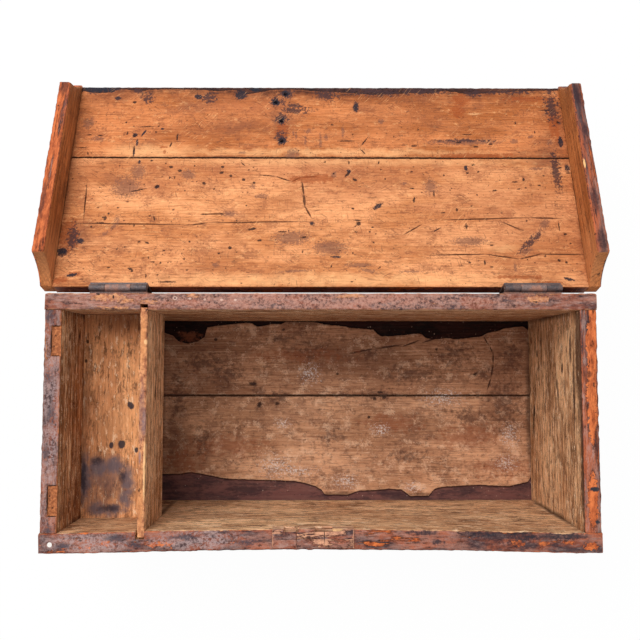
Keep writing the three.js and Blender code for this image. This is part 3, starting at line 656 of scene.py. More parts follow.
def fineBoard(name, shape, paints, sinks, place):
    (lowX, highX), (lowY, highY) = shape["alongX"], shape["alongY"]
    columns, rows = round((highX - lowX) / shape["step"]), round((highY - lowY) / shape["step"])
    bpy.ops.object.select_all(action="DESELECT")
    bpy.ops.mesh.primitive_grid_add(
        x_subdivisions=columns, y_subdivisions=rows, size=1, location=((lowX + highX) / 2, (lowY + highY) / 2, 0),
    )
    board = bpy.context.active_object
    board.name = name
    board.scale = (highX - lowX, highY - lowY, 1)
    bpy.ops.object.transform_apply(location=True, rotation=False, scale=True)
    grid = {
        "lowX": lowX, "lowY": lowY, "columns": columns, "rows": rows,
        "stepX": (highX - lowX) / columns, "stepY": (highY - lowY) / rows,
    }
    count = len(board.data.vertices)
    for key, spots in paints.items():
        values = [0.0] * count
        for index, value in spotValues(spots, shape["least"], grid).items():
            values[index] = value
        board.data.attributes.new(key, "FLOAT", "POINT").data.foreach_set("value", values)
    displace(board, shape["ripple"], 1, shape["rippleTexture"])
    for spots, depth, soft in sinks:
        values = spotValues(spots, shape["least"], grid)
        weights = {index: min(1.0, (value - spotEdge) / soft) for index, value in values.items() if value > spotEdge}
        if weights:
            sinkBy(board, weights, depth)
    for outline in shape.get("lost", []):
        sinkBy(board, lostWeights(outline, grid), outline["depth"])
    edgeWeights = {}
    for row in range(rows + 1):
        for column in range(columns + 1):
            inward = min(column * grid["stepX"], (columns - column) * grid["stepX"],
                         row * grid["stepY"], (rows - row) * grid["stepY"])
            if inward < shape["edgeReach"]:
                edgeWeights[row * (columns + 1) + column] = (1 - inward / shape["edgeReach"]) ** 2
    sinkBy(board, edgeWeights, shape["edgeLoss"], shape["edgeTexture"])
    bpy.ops.object.mode_set(mode="EDIT")
    bpy.ops.mesh.select_mode(type="EDGE")
    bpy.ops.mesh.select_all(action="DESELECT")
    bpy.ops.mesh.select_non_manifold()
    under = shape["thickness"]
    bpy.ops.mesh.extrude_edges_move(TRANSFORM_OT_translate={"value": (0, 0, -under)})
    bpy.ops.transform.resize(value=(1, 1, 0), center_override=(0, 0, -under))
    bpy.ops.mesh.edge_face_add()
    if shape.get("outerRound"):
        roundEdges(board, lambda spot: spot.z < touch - under and spot.y > highY - touch, shape["outerRound"], 6)
    roundEdges(board, lambda spot: spot.z < touch - under and spot.y < lowY + touch, shape["underArris"], 2)
    bpy.ops.mesh.select_all(action="SELECT")
    bpy.ops.mesh.normals_make_consistent(inside=False)
    bpy.ops.object.mode_set(mode="OBJECT")
    if shape.get("tongue"):  # closes the gap to the next board
        middle = ((lowX + highX) / 2, shape["tongue"], -under * tongueSet["middle"])
        bpy.ops.mesh.primitive_cube_add(size=1, location=middle)
        tongue = bpy.context.active_object
        tongue.scale = (highX - lowX - tongueSet["short"], tongueSet["width"], under * tongueSet["height"])
        bpy.ops.object.transform_apply(location=True, rotation=False, scale=True)
        board.select_set(True)
        bpy.context.view_layer.objects.active = board
        bpy.ops.object.join()
    board.data.transform(place @ Matrix.Scale(mm, 4))
    bpy.ops.object.shade_smooth_by_angle(angle=smoothAngle)
    return board


def copyNode(name, node, place):
    # a node's own mesh in local millimetres, with its doubled corners merged
    piece = bpy.data.objects.new(name, nodes[node].data.copy())
    bpy.context.scene.collection.objects.link(piece)
    piece.data.transform((place @ Matrix.Scale(mm, 4)).inverted())
    bpy.ops.object.select_all(action="DESELECT")
    piece.select_set(True)
    bpy.context.view_layer.objects.active = piece
    bpy.ops.object.mode_set(mode="EDIT")
    bpy.ops.mesh.select_mode(type="VERT")
    bpy.ops.mesh.select_all(action="SELECT")
    bpy.ops.mesh.remove_doubles(threshold=mergeReach)
    bpy.ops.mesh.dissolve_limited(angle_limit=flatAngle)
    return piece


def wornBoard(name, node, shape, place):
    # cut across its length, then knocked about along its arrises
    piece = copyNode(name, node, place)
    low, high = shape["span"]
    axis = shape["axis"]
    cuts = [(axis, low + (high - low) * (step + 0.5) / shape["rows"]) for step in range(shape["rows"])]
    for cutAxis, level in cuts + shape["supports"]:
        spot, facing = [0, 0, 0], [0, 0, 0]
        spot[cutAxis], facing[cutAxis] = level, 1
        bpy.ops.mesh.select_all(action="SELECT")
        bpy.ops.mesh.bisect(plane_co=spot, plane_no=facing, use_fill=False)
    bpy.ops.object.mode_set(mode="OBJECT")
    bow = shape.get("bow")
    spots = [tuple(vertex.co) for vertex in piece.data.vertices]
    lowest, highest = [[pick(spot[side] for spot in spots) for side in range(3)] for pick in (min, max)]
    weights = {}
    for vertex in piece.data.vertices:
        spot = vertex.co.copy()
        if bow:
            share = max(0.0, 1 - (spot.x / bow["halfSpan"]) ** 2)
            spot.y -= share * (spot.z - bow["base"]) / bow["height"] * bow["reach"]
        near = shape["reach"]
        for lineA, lineB in shape["arrises"]:
            near = min(near, max(abs(spot[lineA[0]] - lineA[1]), abs(spot[lineB[0]] - lineB[1])))
        if near < shape["reach"]:
            weights[vertex.index] = 1 - near / shape["reach"]
    sinkBy(piece, weights, shape["wear"], shape["wearTexture"], "NORMAL")
    sinkBy(piece, weights, shape["chip"], shape["chipTexture"], "NORMAL")
    for vertex in piece.data.vertices:  # no knock stands out past the board
        for side in range(3):
            vertex.co[side] = min(max(vertex.co[side], lowest[side] - knockRoom), highest[side] + knockRoom)
    piece.data.transform(place @ Matrix.Scale(mm, 4))
    bpy.ops.object.shade_smooth_by_angle(angle=smoothAngle)
    return piece


def lostWeights(outline, grid):
    # rises from 0 to 1 across a line drawn through points
    points, sign = outline["points"], outline["sign"]
    weights = {}
    fade = 0.8
    for column in range(grid["columns"] + 1):
        x = grid["lowX"] + column * grid["stepX"]
        line = points[0][1] if x <= points[0][0] else points[-1][1]
        for first, second in zip(points, points[1:]):
            if first[0] <= x <= second[0] and second[0] > first[0]:
                line = first[1] + (second[1] - first[1]) * (x - first[0]) / (second[0] - first[0])
        for row in range(grid["rows"] + 1):
            beyond = (grid["lowY"] + row * grid["stepY"] - line) * sign
            if beyond > -fade:
                weights[row * (grid["columns"] + 1) + column] = min(1.0, (beyond + fade) / (2 * fade))
    return weights


def replaceNode(piece, node, body, material):
    piece.data.materials.clear()
    piece.data.materials.append(material)
    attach(piece, body)
    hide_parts(node)


# Short ways to write down tones, arrises, stains, patchy dirt, knocks, scratches and painted marks
def toned(wood, light, dark, **more):
    return {**wood, "light": light, "dark": dark, **more}


def onTop(spots, depth=3):
    # spots on the top of the case
    return flat(spots, topLevel, depth)


def wallArrises(outer, inner):
    # the long top edges of a wall, its top edges at the ends, and its outer corners
    top, ends = (2, topLevel), [(0, -halfLength), (0, halfLength)]
    return [((1, outer), top), ((1, inner), top), *[(end, top) for end in ends], *[(end, (1, outer)) for end in ends]]


def stained(spots, soft, ragged, share, colour, **more):
    return {"spots": spots, "soft": soft, "ragged": ragged, "share": share, "colour": colour, **more}


def dirty(size, low, high, share, colour, **more):
    return {"size": size, "low": low, "high": high, "share": share, "colour": colour, **more}


def knocked(spacing, size, chance, share, colour, pit, **more):
    return {"spacing": spacing, "size": size, "chance": chance, "share": share, "colour": colour, "pit": pit, **more}


def scratched(turn, length, width, amount, share, colour):
    return {"turn": turn, "length": length, "width": width, "amount": amount, "share": share, "colour": colour}


def marked(scale, ragged, soft, share, colour, **more):
    return {"scale": scale, "ragged": ragged, "soft": soft, "share": share, "colour": colour, **more}


lidPine = {
    "light": (0.88, 0.38, 0.165), "dark": (0.6, 0.22, 0.08), "ring": (0.36, 0.1, 0.03), "ringShare": 0.14,
    "fibre": (0.36, 0.105, 0.03), "fibreShare": 0.34, "heart": (-300, 420), "ringWidth": 3.6, "wander": 9,
    "bleach": (0.86, 0.42, 0.18), "bleachShare": 0.36, "pore": (0.22, 0.06, 0.02), "poreShare": 0.34,
    "roughness": 0.62, "sheen": 0.08,
}
lidGrimes = [
    dirty(70, 0.47, 0.59, 0.5, (0.36, 0.11, 0.04)),
    dirty(22, 0.51, 0.6, 0.5, (0.25, 0.075, 0.034), shift=(50, 20, 0), stretch=(0.7, 1, 1)),
    dirty(8, 0.56, 0.61, 0.6, (0.15, 0.05, 0.027), shift=(5, 120, 0), stretch=(0.8, 1, 1)),
    dirty(7, 0.56, 0.62, 0.42, (0.97, 0.5, 0.22), shift=(10, 90, 0), stretch=(0.6, 1, 1)),
]
lidWashes = [
    stained(
        flat([(0, 334, 430, 36), (90, 334, 140, 46), (-300, 330, 100, 40), (250, 330, 120, 40)]), 0.95, 19, 0.85,
        (0.17, 0.047, 0.02),
    ),
    stained(flat([
        (-60, 280, 34, 50), (-190, 300, 60, 24), (-120, 260, 60, 20), (330, 215, 40, 60), (-330, 80, 40, 40),
    ]), 0.95, 20, 0.6, (0.2, 0.065, 0.035), scale=0.04),
    stained(flat([(0, 337, 600, 22)]), 0.7, 16, 0.92, (0.045, 0.016, 0.013), scale=0.05),
    # painted shade: the lid's rear edge face made nearly black, as it lies in shadow with the lid open
    stained([((0, -0.6, -12), (1200, 1.5, 11.4))], 0.3, 0.6, 0.94, (0.03, 0.013, 0.009), scale=0.1),
    stained(flat([
        (13.9, 200, 390, 11), (0, 216, 390, 10), (12.6, 9, 380, 17), (251, 58.1, 30.6, 11), (233.1, 287.2, 15.1, 3.7),
        (-250, 216, 110, 20),
    ]), 0.95, 12, 0.6, (0.98, 0.52, 0.235), scale=0.04),
    stained(flat([
        (141.2, 124.1, 85.3, 14), (-106.7, 300, 91, 22), (-294, 83.3, 34.3, 9.7, 23), (-240, 160, 90, 26),
        (40, 150, 90, 30), (200, 150, 110, 24), (-20, 186, 520, 36), (270, 110, 200, 130),
    ]), 0.95, 14, 0.46, (0.45, 0.145, 0.06)),
    stained(flat([(364, 250, 26, 90), (364, 60, 14, 120), (-364, 150, 12, 200)]), 0.95, 8, 0.5, (0.27, 0.085, 0.035)),
]
lidLine = {
    "level": 0, "rim": (0.03, 0.013, 0.011), "colour": (0.075, 0.028, 0.02), "deep": (0.016, 0.01, 0.012),
    "lip": (0.45, 0.15, 0.06), "share": 0.9, "ragged": 3, "sign": 1,
    "points": [
        (-364, 325), (-361, 326), (-335, 323), (-317, 325), (-306, 331.5), (-275, 327), (-260, 330), (-214, 330.5),
        (-184, 330), (-160, 327), (-130, 330), (-113, 321), (-89, 326), (-69, 330.5), (-31, 330.5), (-16, 328),
        (15, 326), (38, 325), (79, 321), (106, 322), (137, 325), (167, 324), (191, 329), (228, 322), (259, 326),
        (305, 328), (364, 330),
    ],
}
lidMarks = {
    "crack": marked(0.8, 0.35, 0.14, 0.85, (0.06, 0.02, 0.012)),
    "rust": marked(0.2, 2.2, 0.14, 0.66, (0.33, 0.07, 0.018)),
    "faint": marked(0.35, 3, 0.2, 0.62, (0.17, 0.075, 0.055)),
    "smear": marked(0.24, 3.2, 0.12, 0.88, (0.06, 0.03, 0.032), gain=0.8),
    "ink": marked(0.4, 1.7, 0.12, 0.94, (0.02, 0.02, 0.03)),
    "knock": marked(0.7, 1.5, 0.12, 0.9, (0.03, 0.015, 0.014)),
}
lidInk = [
    (-334.6, 330.6, 27.4, 6.5), (-307.3, 312.8, 4.5, 3.8), (-185.8, 316.6, 5.6, 5.1), (-121.1, 320.2, 8.8, 9.1),
    (-99, 330.8, 7.3, 5.3), (-356.9, 53.6, 6.9, 5.3), (53, 297.8, 4.5, 9.3), (80.7, 125.1, 6.3, 3.6, 33),
    (-339.2, 16.8, 8, 2.5, 11), (337.9, 11.4, 7.3, 2.2, -14), (358.8, 189.7, 3.5, 6.6), (354.5, 233.3, 3, 7.5),
    (-334.3, 69.3, 5.8, 4, -16),
]
lidKnocks = [
    (-281.5, 306, 3.8, 2.8), (-275.7, 245.4, 3, 3.2), (-274.5, 219.8, 1.5, 8.8), (-212.4, 242.3, 1.5, 8.4),
    (-221, 229.2, 1.5, 5.7, -17), (-247.1, 201.4, 2.5, 1.9), (-217.5, 190.6, 3.6, 2.5, -17),
    (-204.2, 184.3, 3.6, 2.8, -17), (-142.8, 190.7, 2.9, 2.6), (-143.8, 181.2, 3.8, 2.6, 18),
    (-130.1, 175.6, 3, 2.3, -23), (-111.2, 169.4, 2.9, 3), (-96.3, 164.2, 2.6, 2.7), (-168.1, 163, 3.7, 2.4, -22),
    (-235.4, 157.7, 4.6, 3, 36), (-303.9, 106, 3.4, 2.9, 41), (-241.9, 66.6, 3.3, 1.6, -32), (-126.1, 58.9, 3.3, 3),
    (-96.4, 88.5, 7.7, 2.4, 14), (-85.4, 70.2, 4.2, 1.6), (-23.9, 75.4, 7, 1.4, 11), (132.8, 134.7, 1.9, 4.3),
    (314.8, 160.4, 3.2, 1.7, -18), (222.5, 195, 3.4, 2, 28), (39.4, 179.4, 5.2, 2.5, 54),
    (48.9, 169.6, 4.8, 2.6, -34), (53, 97.3, 4.2, 3.9), (328.4, 40, 2.9, 2.2, -29), (337.9, 37.1, 2.2, 2.3),
    (-260.5, 26.1, 4.9, 1.9, -21), (-220.1, 35.7, 1.9, 1.8), (-183, 68.5, 1.7, 1.7), (-141, 50.2, 2.1, 1.9),
]
lidCracks = [
    (-25.7, 154.9, 12.3, 1.5, -83), (-23.6, 134.9, 10.3, 1.9, -85), (-18.2, 116.1, 12.1, 1.2, -64),
    (-78, 176.3, 13.6, 0.7, -6), (-53.9, 170.6, 14.4, 0.7, -20), (-35.1, 169.9, 8.5, 0.7, 29),
    (-16.5, 174.3, 13.5, 0.6, 4), (-271.6, 96.4, 96, 0.6, -1), (-173.1, 96, 14.5, 0.8, 8),
    (-90.2, 99.5, 78.5, 0.9, 1), (230.7, 105.2, 72.1, 1, 2), (317.4, 106.6, 24.9, 0.9, -1),
    (129.2, 88.3, 16.4, 0.5, 32), (269.3, 93.3, 19.3, 0.9, -27), (189.3, 48.6, 44.5, 0.6, 1),
    (251.2, 45.6, 25.2, 0.8, -9), (288.3, 45.6, 17.2, 0.9, 14), (333.7, 49.4, 34.1, 0.7),
    (-335, 132.6, 33.3, 0.5, -88), (-152.1, 112.5, 21.9, 0.7, 2), (217.9, 248.2, 8.9, 0.8), (342.5, 293, 15.1, 1),
]
lidSpecks = [
    (-290.4, 269, 1.9, 2), (-278.4, 262.2, 1.3, 1.6), (-241.3, 262.2, 1.9, 1.4), (-244.4, 251.9, 2.4, 1.6, -10),
    (-253.3, 251.9, 1, 1.7), (-286.8, 249.5, 1.1, 5), (-310.5, 253.7, 1, 1.2), (-341.1, 214, 1.3, 3.4, 20),
    (-336.4, 214.6, 1.3, 1.5), (-349.4, 223.5, 9.9, 0.9), (-342.6, 246.5, 4.8, 0.8), (-326.5, 245.5, 5.3, 0.8),
    (-246.5, 201.6, 2.4, 1.7), (-225.6, 196.8, 1.3, 1.5), (-183.5, 192.7, 0.9, 2.4), (-218.2, 172.4, 0.8, 2.9),
    (-211.1, 172.4, 0.9, 2.6), (-274.1, 161.3, 1.2, 2.2), (-253.9, 161, 1.4, 1.3), (-277.8, 143.6, 2.2, 1.1, 10),
    (-275.1, 132.2, 2, 1.1), (-287.2, 122.8, 1.5, 1.4), (-178.7, 166, 0.9, 1.1), (-153, 153.3, 1.4, 1.6),
    (-194.8, 150.6, 1.4, 1.1), (-140.9, 197.5, 1.6, 1.5), (-130, 175.3, 2.2, 1.8), (-357.7, 170.3, 1.1, 1.1),
    (-258.9, 261.2, 16.1, 0.8, 2), (-261.5, 151.4, 17.1, 0.7, 14), (-130.2, 176.2, 2.7, 2), (-104.7, 185.8, 2.2, 1.1),
    (-92.2, 187.7, 1.4, 1.5), (-98.1, 190.1, 0.9, 0.9), (-113, 195.6, 5.4, 0.9, -42), (-32.7, 219.7, 2.2, 1.1),
    (17, 265.7, 2.3, 2, -20), (47.5, 248.2, 1.4, 1.2), (6.2, 199.6, 1.3, 2.6, -15), (41, 198.7, 1.4, 4.1),
    (36, 176.4, 0.9, 4, -25), (84.6, 198.8, 1.3, 3.7, -10), (87.3, 186.7, 1.4, 1.7), (93.1, 171, 1.6, 1.8),
    (18.7, 180.1, 1.9, 2.2), (-78.3, 137.3, 1.2, 1.4), (-105.7, 126, 1.4, 1.2), (-111.9, 148, 1.2, 1.1),
    (64.1, 234.8, 11.2, 0.8, 55), (62.1, 217.6, 8, 0.8, -50), (36.9, 236.6, 17.6, 0.8), (145.1, 257.1, 1.6, 1.9),
    (108.5, 244.1, 1.1, 1.3), (291.7, 269.6, 1.6, 3), (319, 253, 1.2, 3), (355.6, 270.8, 2.5, 3),
    (204.1, 234.5, 5.2, 1.9), (251, 231.4, 4.2, 1.9), (137.4, 228.1, 5.9, 1.9), (228.8, 226.8, 4.9, 1.9),
    (124.5, 211.5, 1.4, 1), (213, 181.2, 2.7, 2), (228.6, 183.2, 2.4, 1.8), (131.7, 183, 2.7, 1.4, 10),
    (131.2, 155.1, 4.4, 1), (133.7, 138.5, 1.5, 1.9), (162, 146.3, 1, 6.7), (187.7, 155.2, 1.4, 1),
    (185.6, 152.3, 1.4, 1.2), (223.7, 144.8, 1.5, 1.6), (249.7, 152, 4.4, 1.4), (280.9, 166.3, 5.1, 1.4),
    (293.3, 170.3, 2.1, 3.6), (284.7, 154.4, 3.4, 1.4, 15), (295.1, 156.4, 2.4, 1.6), (323.1, 176.9, 2.1, 1.4),
    (348.8, 190.5, 2.6, 1.4, 10), (359.7, 181.4, 4.5, 1.4, 5), (178.5, 177.1, 1.4, 2), (336.6, 182.4, 0.9, 2),
    (214.5, 126, 1.7, 1.2), (-287.9, 122.5, 2.1, 1.4), (-315.5, 122.5, 1.4, 0.9), (-299.8, 112.8, 1.8, 1.8),
    (-304.2, 103.6, 2.6, 1.9), (-307.6, 107.1, 0.9, 1), (-277, 101.9, 1.4, 1.4), (-262.1, 93.7, 1.1, 2.8),
    (-241.5, 109.4, 2.4, 1.2, 45), (-234.7, 105, 0.9, 5.9, 20), (-209, 119.5, 2.5, 1.4, 50),
    (-210.3, 100.7, 1.4, 1.2), (-165.3, 112.1, 7, 1.1), (-309.6, 98, 8.4, 0.9), (-321.8, 91.9, 1.8, 2.1),
    (-291.1, 88, 1.2, 1.2), (-240.7, 66.4, 3, 1.5, -30), (-252.9, 68.1, 2.1, 1.4, 20), (-271.6, 59.9, 1.9, 1.3),
    (-182.5, 68.5, 1.7, 1.9), (-141.7, 50.5, 1.6, 1.7), (-239.6, 54.6, 1.5, 1.3), (-217.2, 54.6, 2.4, 1.2, -15),
    (-218.2, 48.7, 1.2, 1.3), (-237.5, 43.4, 1, 2.8), (-231.4, 37.1, 3.9, 0.8), (-220.4, 35.8, 1.3, 2.3),
    (-210.1, 35.9, 0.9, 1.2), (-188.2, 41.7, 1.2, 2.3), (-225.8, 32.4, 1.3, 1), (-212.8, 26.9, 1.3, 1.1),
    (-290.6, 28.4, 3, 1), (-258.3, 23, 2.1, 2), (-183, 24.7, 2.7, 1), (-209, 6.8, 16.9, 1), (-223.1, 17.3, 2.2, 1),
    (-238.4, 15.7, 0.7, 3.6), (-190.4, 56.3, 1, 0.8), (-281.8, 57, 0.7, 2.7), (-299.1, 58.7, 0.9, 1.3),
    (-106, 126.3, 1.4, 1.2), (-140, 113, 4, 1.2, -10), (-118.4, 102.1, 1.1, 1.6), (-44.9, 85.9, 1.1, 1.5),
    (-116.7, 52.2, 1.2, 1.2), (-25.4, 53.1, 1.2, 2.7), (26.3, 54.8, 1.3, 1.3), (44.2, 51, 0.7, 2.3),
    (45.5, 121.6, 2.5, 1.9), (53.9, 97.6, 3, 2.1, -30), (48.1, 93.2, 2.3, 1.2), (49.4, 84.3, 3, 1.2),
    (72.4, 91.5, 2.4, 1), (68.4, 84.3, 2.1, 0.9), (76.6, 80.8, 1.8, 1.2), (73.5, 67.5, 1.5, 1.7),
    (14.1, 30.6, 1.2, 3.3, -20), (41.9, 7.4, 2.1, 1.1), (-108.1, 4.8, 1.5, 1), (80.9, 29.1, 1.2, 2),
    (51.3, 102.8, 7.6, 0.9), (-53.7, 84.1, 8.3, 0.7), (193, 119.9, 1.9, 3.6), (173.2, 115, 3.9, 1.3),
    (334.8, 93.5, 0.8, 10.1), (162.7, 87.8, 8.8, 0.9, 32), (204.5, 93.3, 1.5, 6.1), (204.5, 93.3, 3.9, 1.3),
    (341.8, 80.8, 2.9, 2), (347.6, 66.4, 2.1, 1.1), (237.4, 63.5, 4.2, 1.3), (284.6, 41.4, 1.1, 1.3),
    (294.4, 36.6, 1.3, 1.3), (225.5, 36.5, 1.5, 5), (234.3, 29.8, 3.2, 1), (309.8, 46.5, 1.9, 1.7),
    (204.7, 36.5, 2.5, 1.9), (290.3, 101.8, 1.9, 1.5),
]
lidFaint = [
    (-346.8, 267.9, 7.4, 9), (-279, 155.9, 18.6, 16.2), (-264.3, 181.5, 9.4, 12.9), (-192, 177.9, 9.4, 7.3),
    (-329, 239.8, 9.6, 3.8), (-40.6, 250, 1.4, 6.6), (-36.7, 245.2, 1.4, 6.6), (-22.8, 236.5, 1.4, 9.6),
    (-18.5, 253.9, 4.2, 3.9), (-0.8, 234.6, 2.2, 12.6), (8, 242.4, 3.5, 5), (33.1, 254, 2.3, 8.9),
    (-41.4, 213.6, 8.7, 7.5), (-115.3, 215.4, 5.1, 2.3), (91, 271.8, 3.9, 4.3), (-97.5, 157.1, 3.4, 3.6),
    (-83.8, 141.7, 8.7, 3.9), (18.7, 178.3, 3.8, 4.4), (211.1, 234.5, 47.2, 4.2), (286.5, 236.7, 5.3, 3.8),
    (311.9, 244.5, 4.6, 2.1, 20), (157.7, 158.1, 8.5, 11.8), (120.5, 163, 3.7, 2.4), (314.2, 188.4, 8.6, 2.4),
    (338.6, 233.7, 4.2, 5), (-287, 104.1, 3.7, 4.9), (-302.3, 80.4, 5.4, 2.4, 30), (-144.9, 32.2, 4.5, 3.3),
    (-290.1, 92.8, 3, 7.6, -35), (-41.4, 74.2, 22.6, 10.2), (-34.8, 23.2, 20.7, 1.5, 3), (65.2, 23.3, 10.4, 2.6, -12),
    (12.8, 59, 22.5, 10.1), (52.8, 32.3, 17.9, 3), (-129.2, 112.2, 9.2, 3.5), (314.9, 96.8, 5, 8.8, -40),
    (303.2, 79.3, 2.7, 8.6, -20), (284, 53.5, 8.7, 3.8, 25), (213, 67.3, 11.5, 4.3), (207.4, 69.5, 22.9, 6.4),
    (121.1, 22.9, 13.5, 1.5), (266.3, 29.2, 1.9, 6.2),
]
lidInkMore = [
    (-262.7, 249.5, 1.4, 6.6, -30), (-275.2, 246, 3.8, 3.9), (-270.8, 233.2, 1.8, 5.7), (-273.9, 216, 1.7, 8.3),
    (-235.2, 257.4, 2.6, 1.8, -10), (-234.8, 156.8, 3.7, 2.5, 40), (-264.4, 199.1, 1.9, 3), (40.8, 183.8, 3.1, 3),
    (211.1, 189.2, 2.4, 4.4), (355.7, 236.8, 3, 8.8), (-12.8, 97.5, 3.4, 2.4), (20.9, 44.8, 7.5, 1.5),
    (309.2, 3, 18.7, 2), (81.2, 125.3, 8.2, 2.7, 40),
]
lidRed = [
    (-62.9, 253.8, 3.2, 4.3), (-50, 255.8, 1.9, 4.7), (-59, 262.6, 7.4, 5.1), (-37.7, 169.9, 9.4, 5.5),
    (-9.5, 170.9, 26.6, 7.3), (223.1, 210.7, 50.3, 4.1), (350.3, 256.9, 7.8, 8.5), (275.3, 212.8, 8.7, 2.9),
    (-356.7, 80.7, 7.5, 6.1), (-354.3, 97.1, 9.1, 2.8), (-351.6, 9.1, 8.2, 4.2), (-335.2, 18.9, 8.8, 3.3),
    (-230.2, 225, 4.8, 1.9), (-228.7, 216.1, 1.9, 3.8), (270.4, 14.7, 33.7, 2.9),
]
lidSmears = [
    (-349.3, 327.5, 11.2, 5.6), (-323.9, 328.4, 6.3, 4.4), (-278, 326, 8.9, 5.8, -25), (-263, 314.3, 9.1, 8.9, -28),
    (-168.6, 314.4, 11.8, 7.8, 8), (-50.9, 323, 12.3, 9), (-66.8, 307.6, 10.2, 8.2), (-40.4, 300.2, 14.2, 4.4),
    (-38.2, 292, 21.1, 6.5), (-59, 276.5, 10.5, 10), (-56.9, 241.4, 8.9, 10.6), (9.4, 321.1, 18.1, 11.1),
    (77.9, 326.4, 43.8, 8), (150.8, 327.7, 36.7, 6.9), (232.6, 324, 11.2, 8), (282.2, 326.3, 38.3, 4),
    (349.4, 300.4, 10.6, 29.4), (341.9, 186.3, 6.6, 33.8), (217.1, 237.8, 38.6, 2.6), (237.8, 237, 17.8, 2.1),
    (-345.3, 75.1, 8, 20), (-357, 50, 9, 5), (291.5, 68.2, 5, 20.7, -47),
]
lidRust = [
    (-352, 76, 12, 26), (212.9, 310.3, 12.9, 10.2), (206.2, 290.8, 10.6, 12.8, 12), (316.6, 313.4, 34.5, 4.7),
    (-57.8, 253.9, 8.2, 19.6), (348.5, 263.7, 7.5, 22.1), (-353.7, 9.5, 8.1, 4.8), (308.8, 4.2, 20.4, 4.2),
]
plateHoles = [(-53.3, 321.7), (-67.9, 306.3), (-58.6, 271.9), (-57.8, 236.2)]
plateSet = {"holeRadius": 2.5, "holeDepth": 7, "stain": 6}
plateStains = [(x, s, plateSet["stain"], plateSet["stain"]) for x, s in plateHoles]
plateBores = [(x, s, plateSet["holeRadius"], plateSet["holeRadius"]) for x, s in plateHoles]
lidShape = {
    "step": 1.25, "thickness": lidSet["thickness"], "underArris": 1.5, "least": 1, "ripple": 0.3,
    "rippleTexture": cloudTexture("planed", 45), "edgeReach": 3.5, "edgeLoss": 1.3,
    "edgeTexture": cloudTexture("bruised", 9, 1.6),
}
lidPaints = {
    "crack": lidCracks, "rust": lidRust + lidRed, "faint": lidFaint, "smear": lidSmears,
    "ink": lidInk + lidInkMore + plateStains,
    "knock": [(x, s, along * 0.82, across * 0.82, *turn) for x, s, along, across, *turn in lidKnocks + lidSpecks],
}
lidSinks = [
    (lidKnocks + lidSpecks, 0.9, 0.35), (lidCracks, 1.3, 0.4), (lidInk, 0.35, 0.3),
    (plateBores, plateSet["holeDepth"], 0.15),
]
lidCoat = {
    "faces": [(2, -22, 1), (1, 334, 1), (1, -0.6, 0.5)], "worn": 0.42, "dusty": 0.4, "edgeReach": 4, "edgeRagged": 4,
    "edgeShare": 0.9, "bareLight": (0.5, 0.16, 0.05), "bareDark": (0.3, 0.09, 0.03),
}
lidScratches = [
    scratched(35, 24, 1.2, 0.58, 0.5, (0.13, 0.042, 0.022)), scratched(-48, 22, 1.2, 0.5, 0.45, (0.9, 0.45, 0.2)),
    scratched(82, 18, 1.2, 0.55, 0.45, (0.13, 0.045, 0.027)),
    scratched(-22, 26, 1.1, 0.5, 0.45, (0.13, 0.042, 0.022)), scratched(4, 44, 1.4, 0.6, 0.55, (0.17, 0.055, 0.026)),
]
lidDents = [
    knocked(11, 0.085, 0.3, 0.75, (0.07, 0.03, 0.022), 0.6),
    knocked(5, 0.14, 0.24, 0.66, (0.12, 0.042, 0.025), 0.3, shift=(90, 40, 0)),
    knocked(8, 0.09, 0.2, 0.6, (0.12, 0.045, 0.035), 0.4, stretch=(0.4, 1, 1), shift=(10, 70, 0)),
]
lidSeam = lidSet["width"] * lidSet["rearShare"]
lidLook = {
    "onLid": True, "grain": "x", "grimes": lidGrimes, "washes": lidWashes, "coat": lidCoat, "dents": lidDents,
    "scratches": lidScratches, "painted": [{"attribute": key, **mark} for key, mark in lidMarks.items()],
}
lidSeamDirt = stained(flat([(0, lidSeam + 0.7, 900, 2.3)]), 0.5, 1.2, 0.92, (0.03, 0.014, 0.01))
for name, node, low, high, seed, wood, lost in (
    ("lidRearBoard", "lid_board_rear", 0.0, lidSeam, 1.0, lidPine, []),
    ("lidFrontBoard", "lid_board_front", lidSeam + lidSet["seamGap"], lidSet["width"], 2.3,
     toned(lidPine, (0.66, 0.225, 0.08), (0.42, 0.125, 0.036), bleach=(0.8, 0.34, 0.14)), [lidLine]),
):
    shape = {**lidShape, "alongX": (-lidSet["length"] / 2, lidSet["length"] / 2), "alongY": (low, high)}
    if node.endswith("rear"):
        shape["tongue"] = lidSeam + lidSet["seamGap"] / 2
    else:
        shape["outerRound"] = 6.0
    board = fineBoard(name, shape, lidPaints, lidSinks, lidWorld)
    finish = woodFinish(f"{name}Pine", {
        **lidLook, "seed": seed, "wood": wood, "lost": lost, "stains": [lidSeamDirt], "low": (-364, low, -22),
        "high": (364, high, 0),
    })
    replaceNode(board, node, "lid", finish)
print("lid boards shaped")

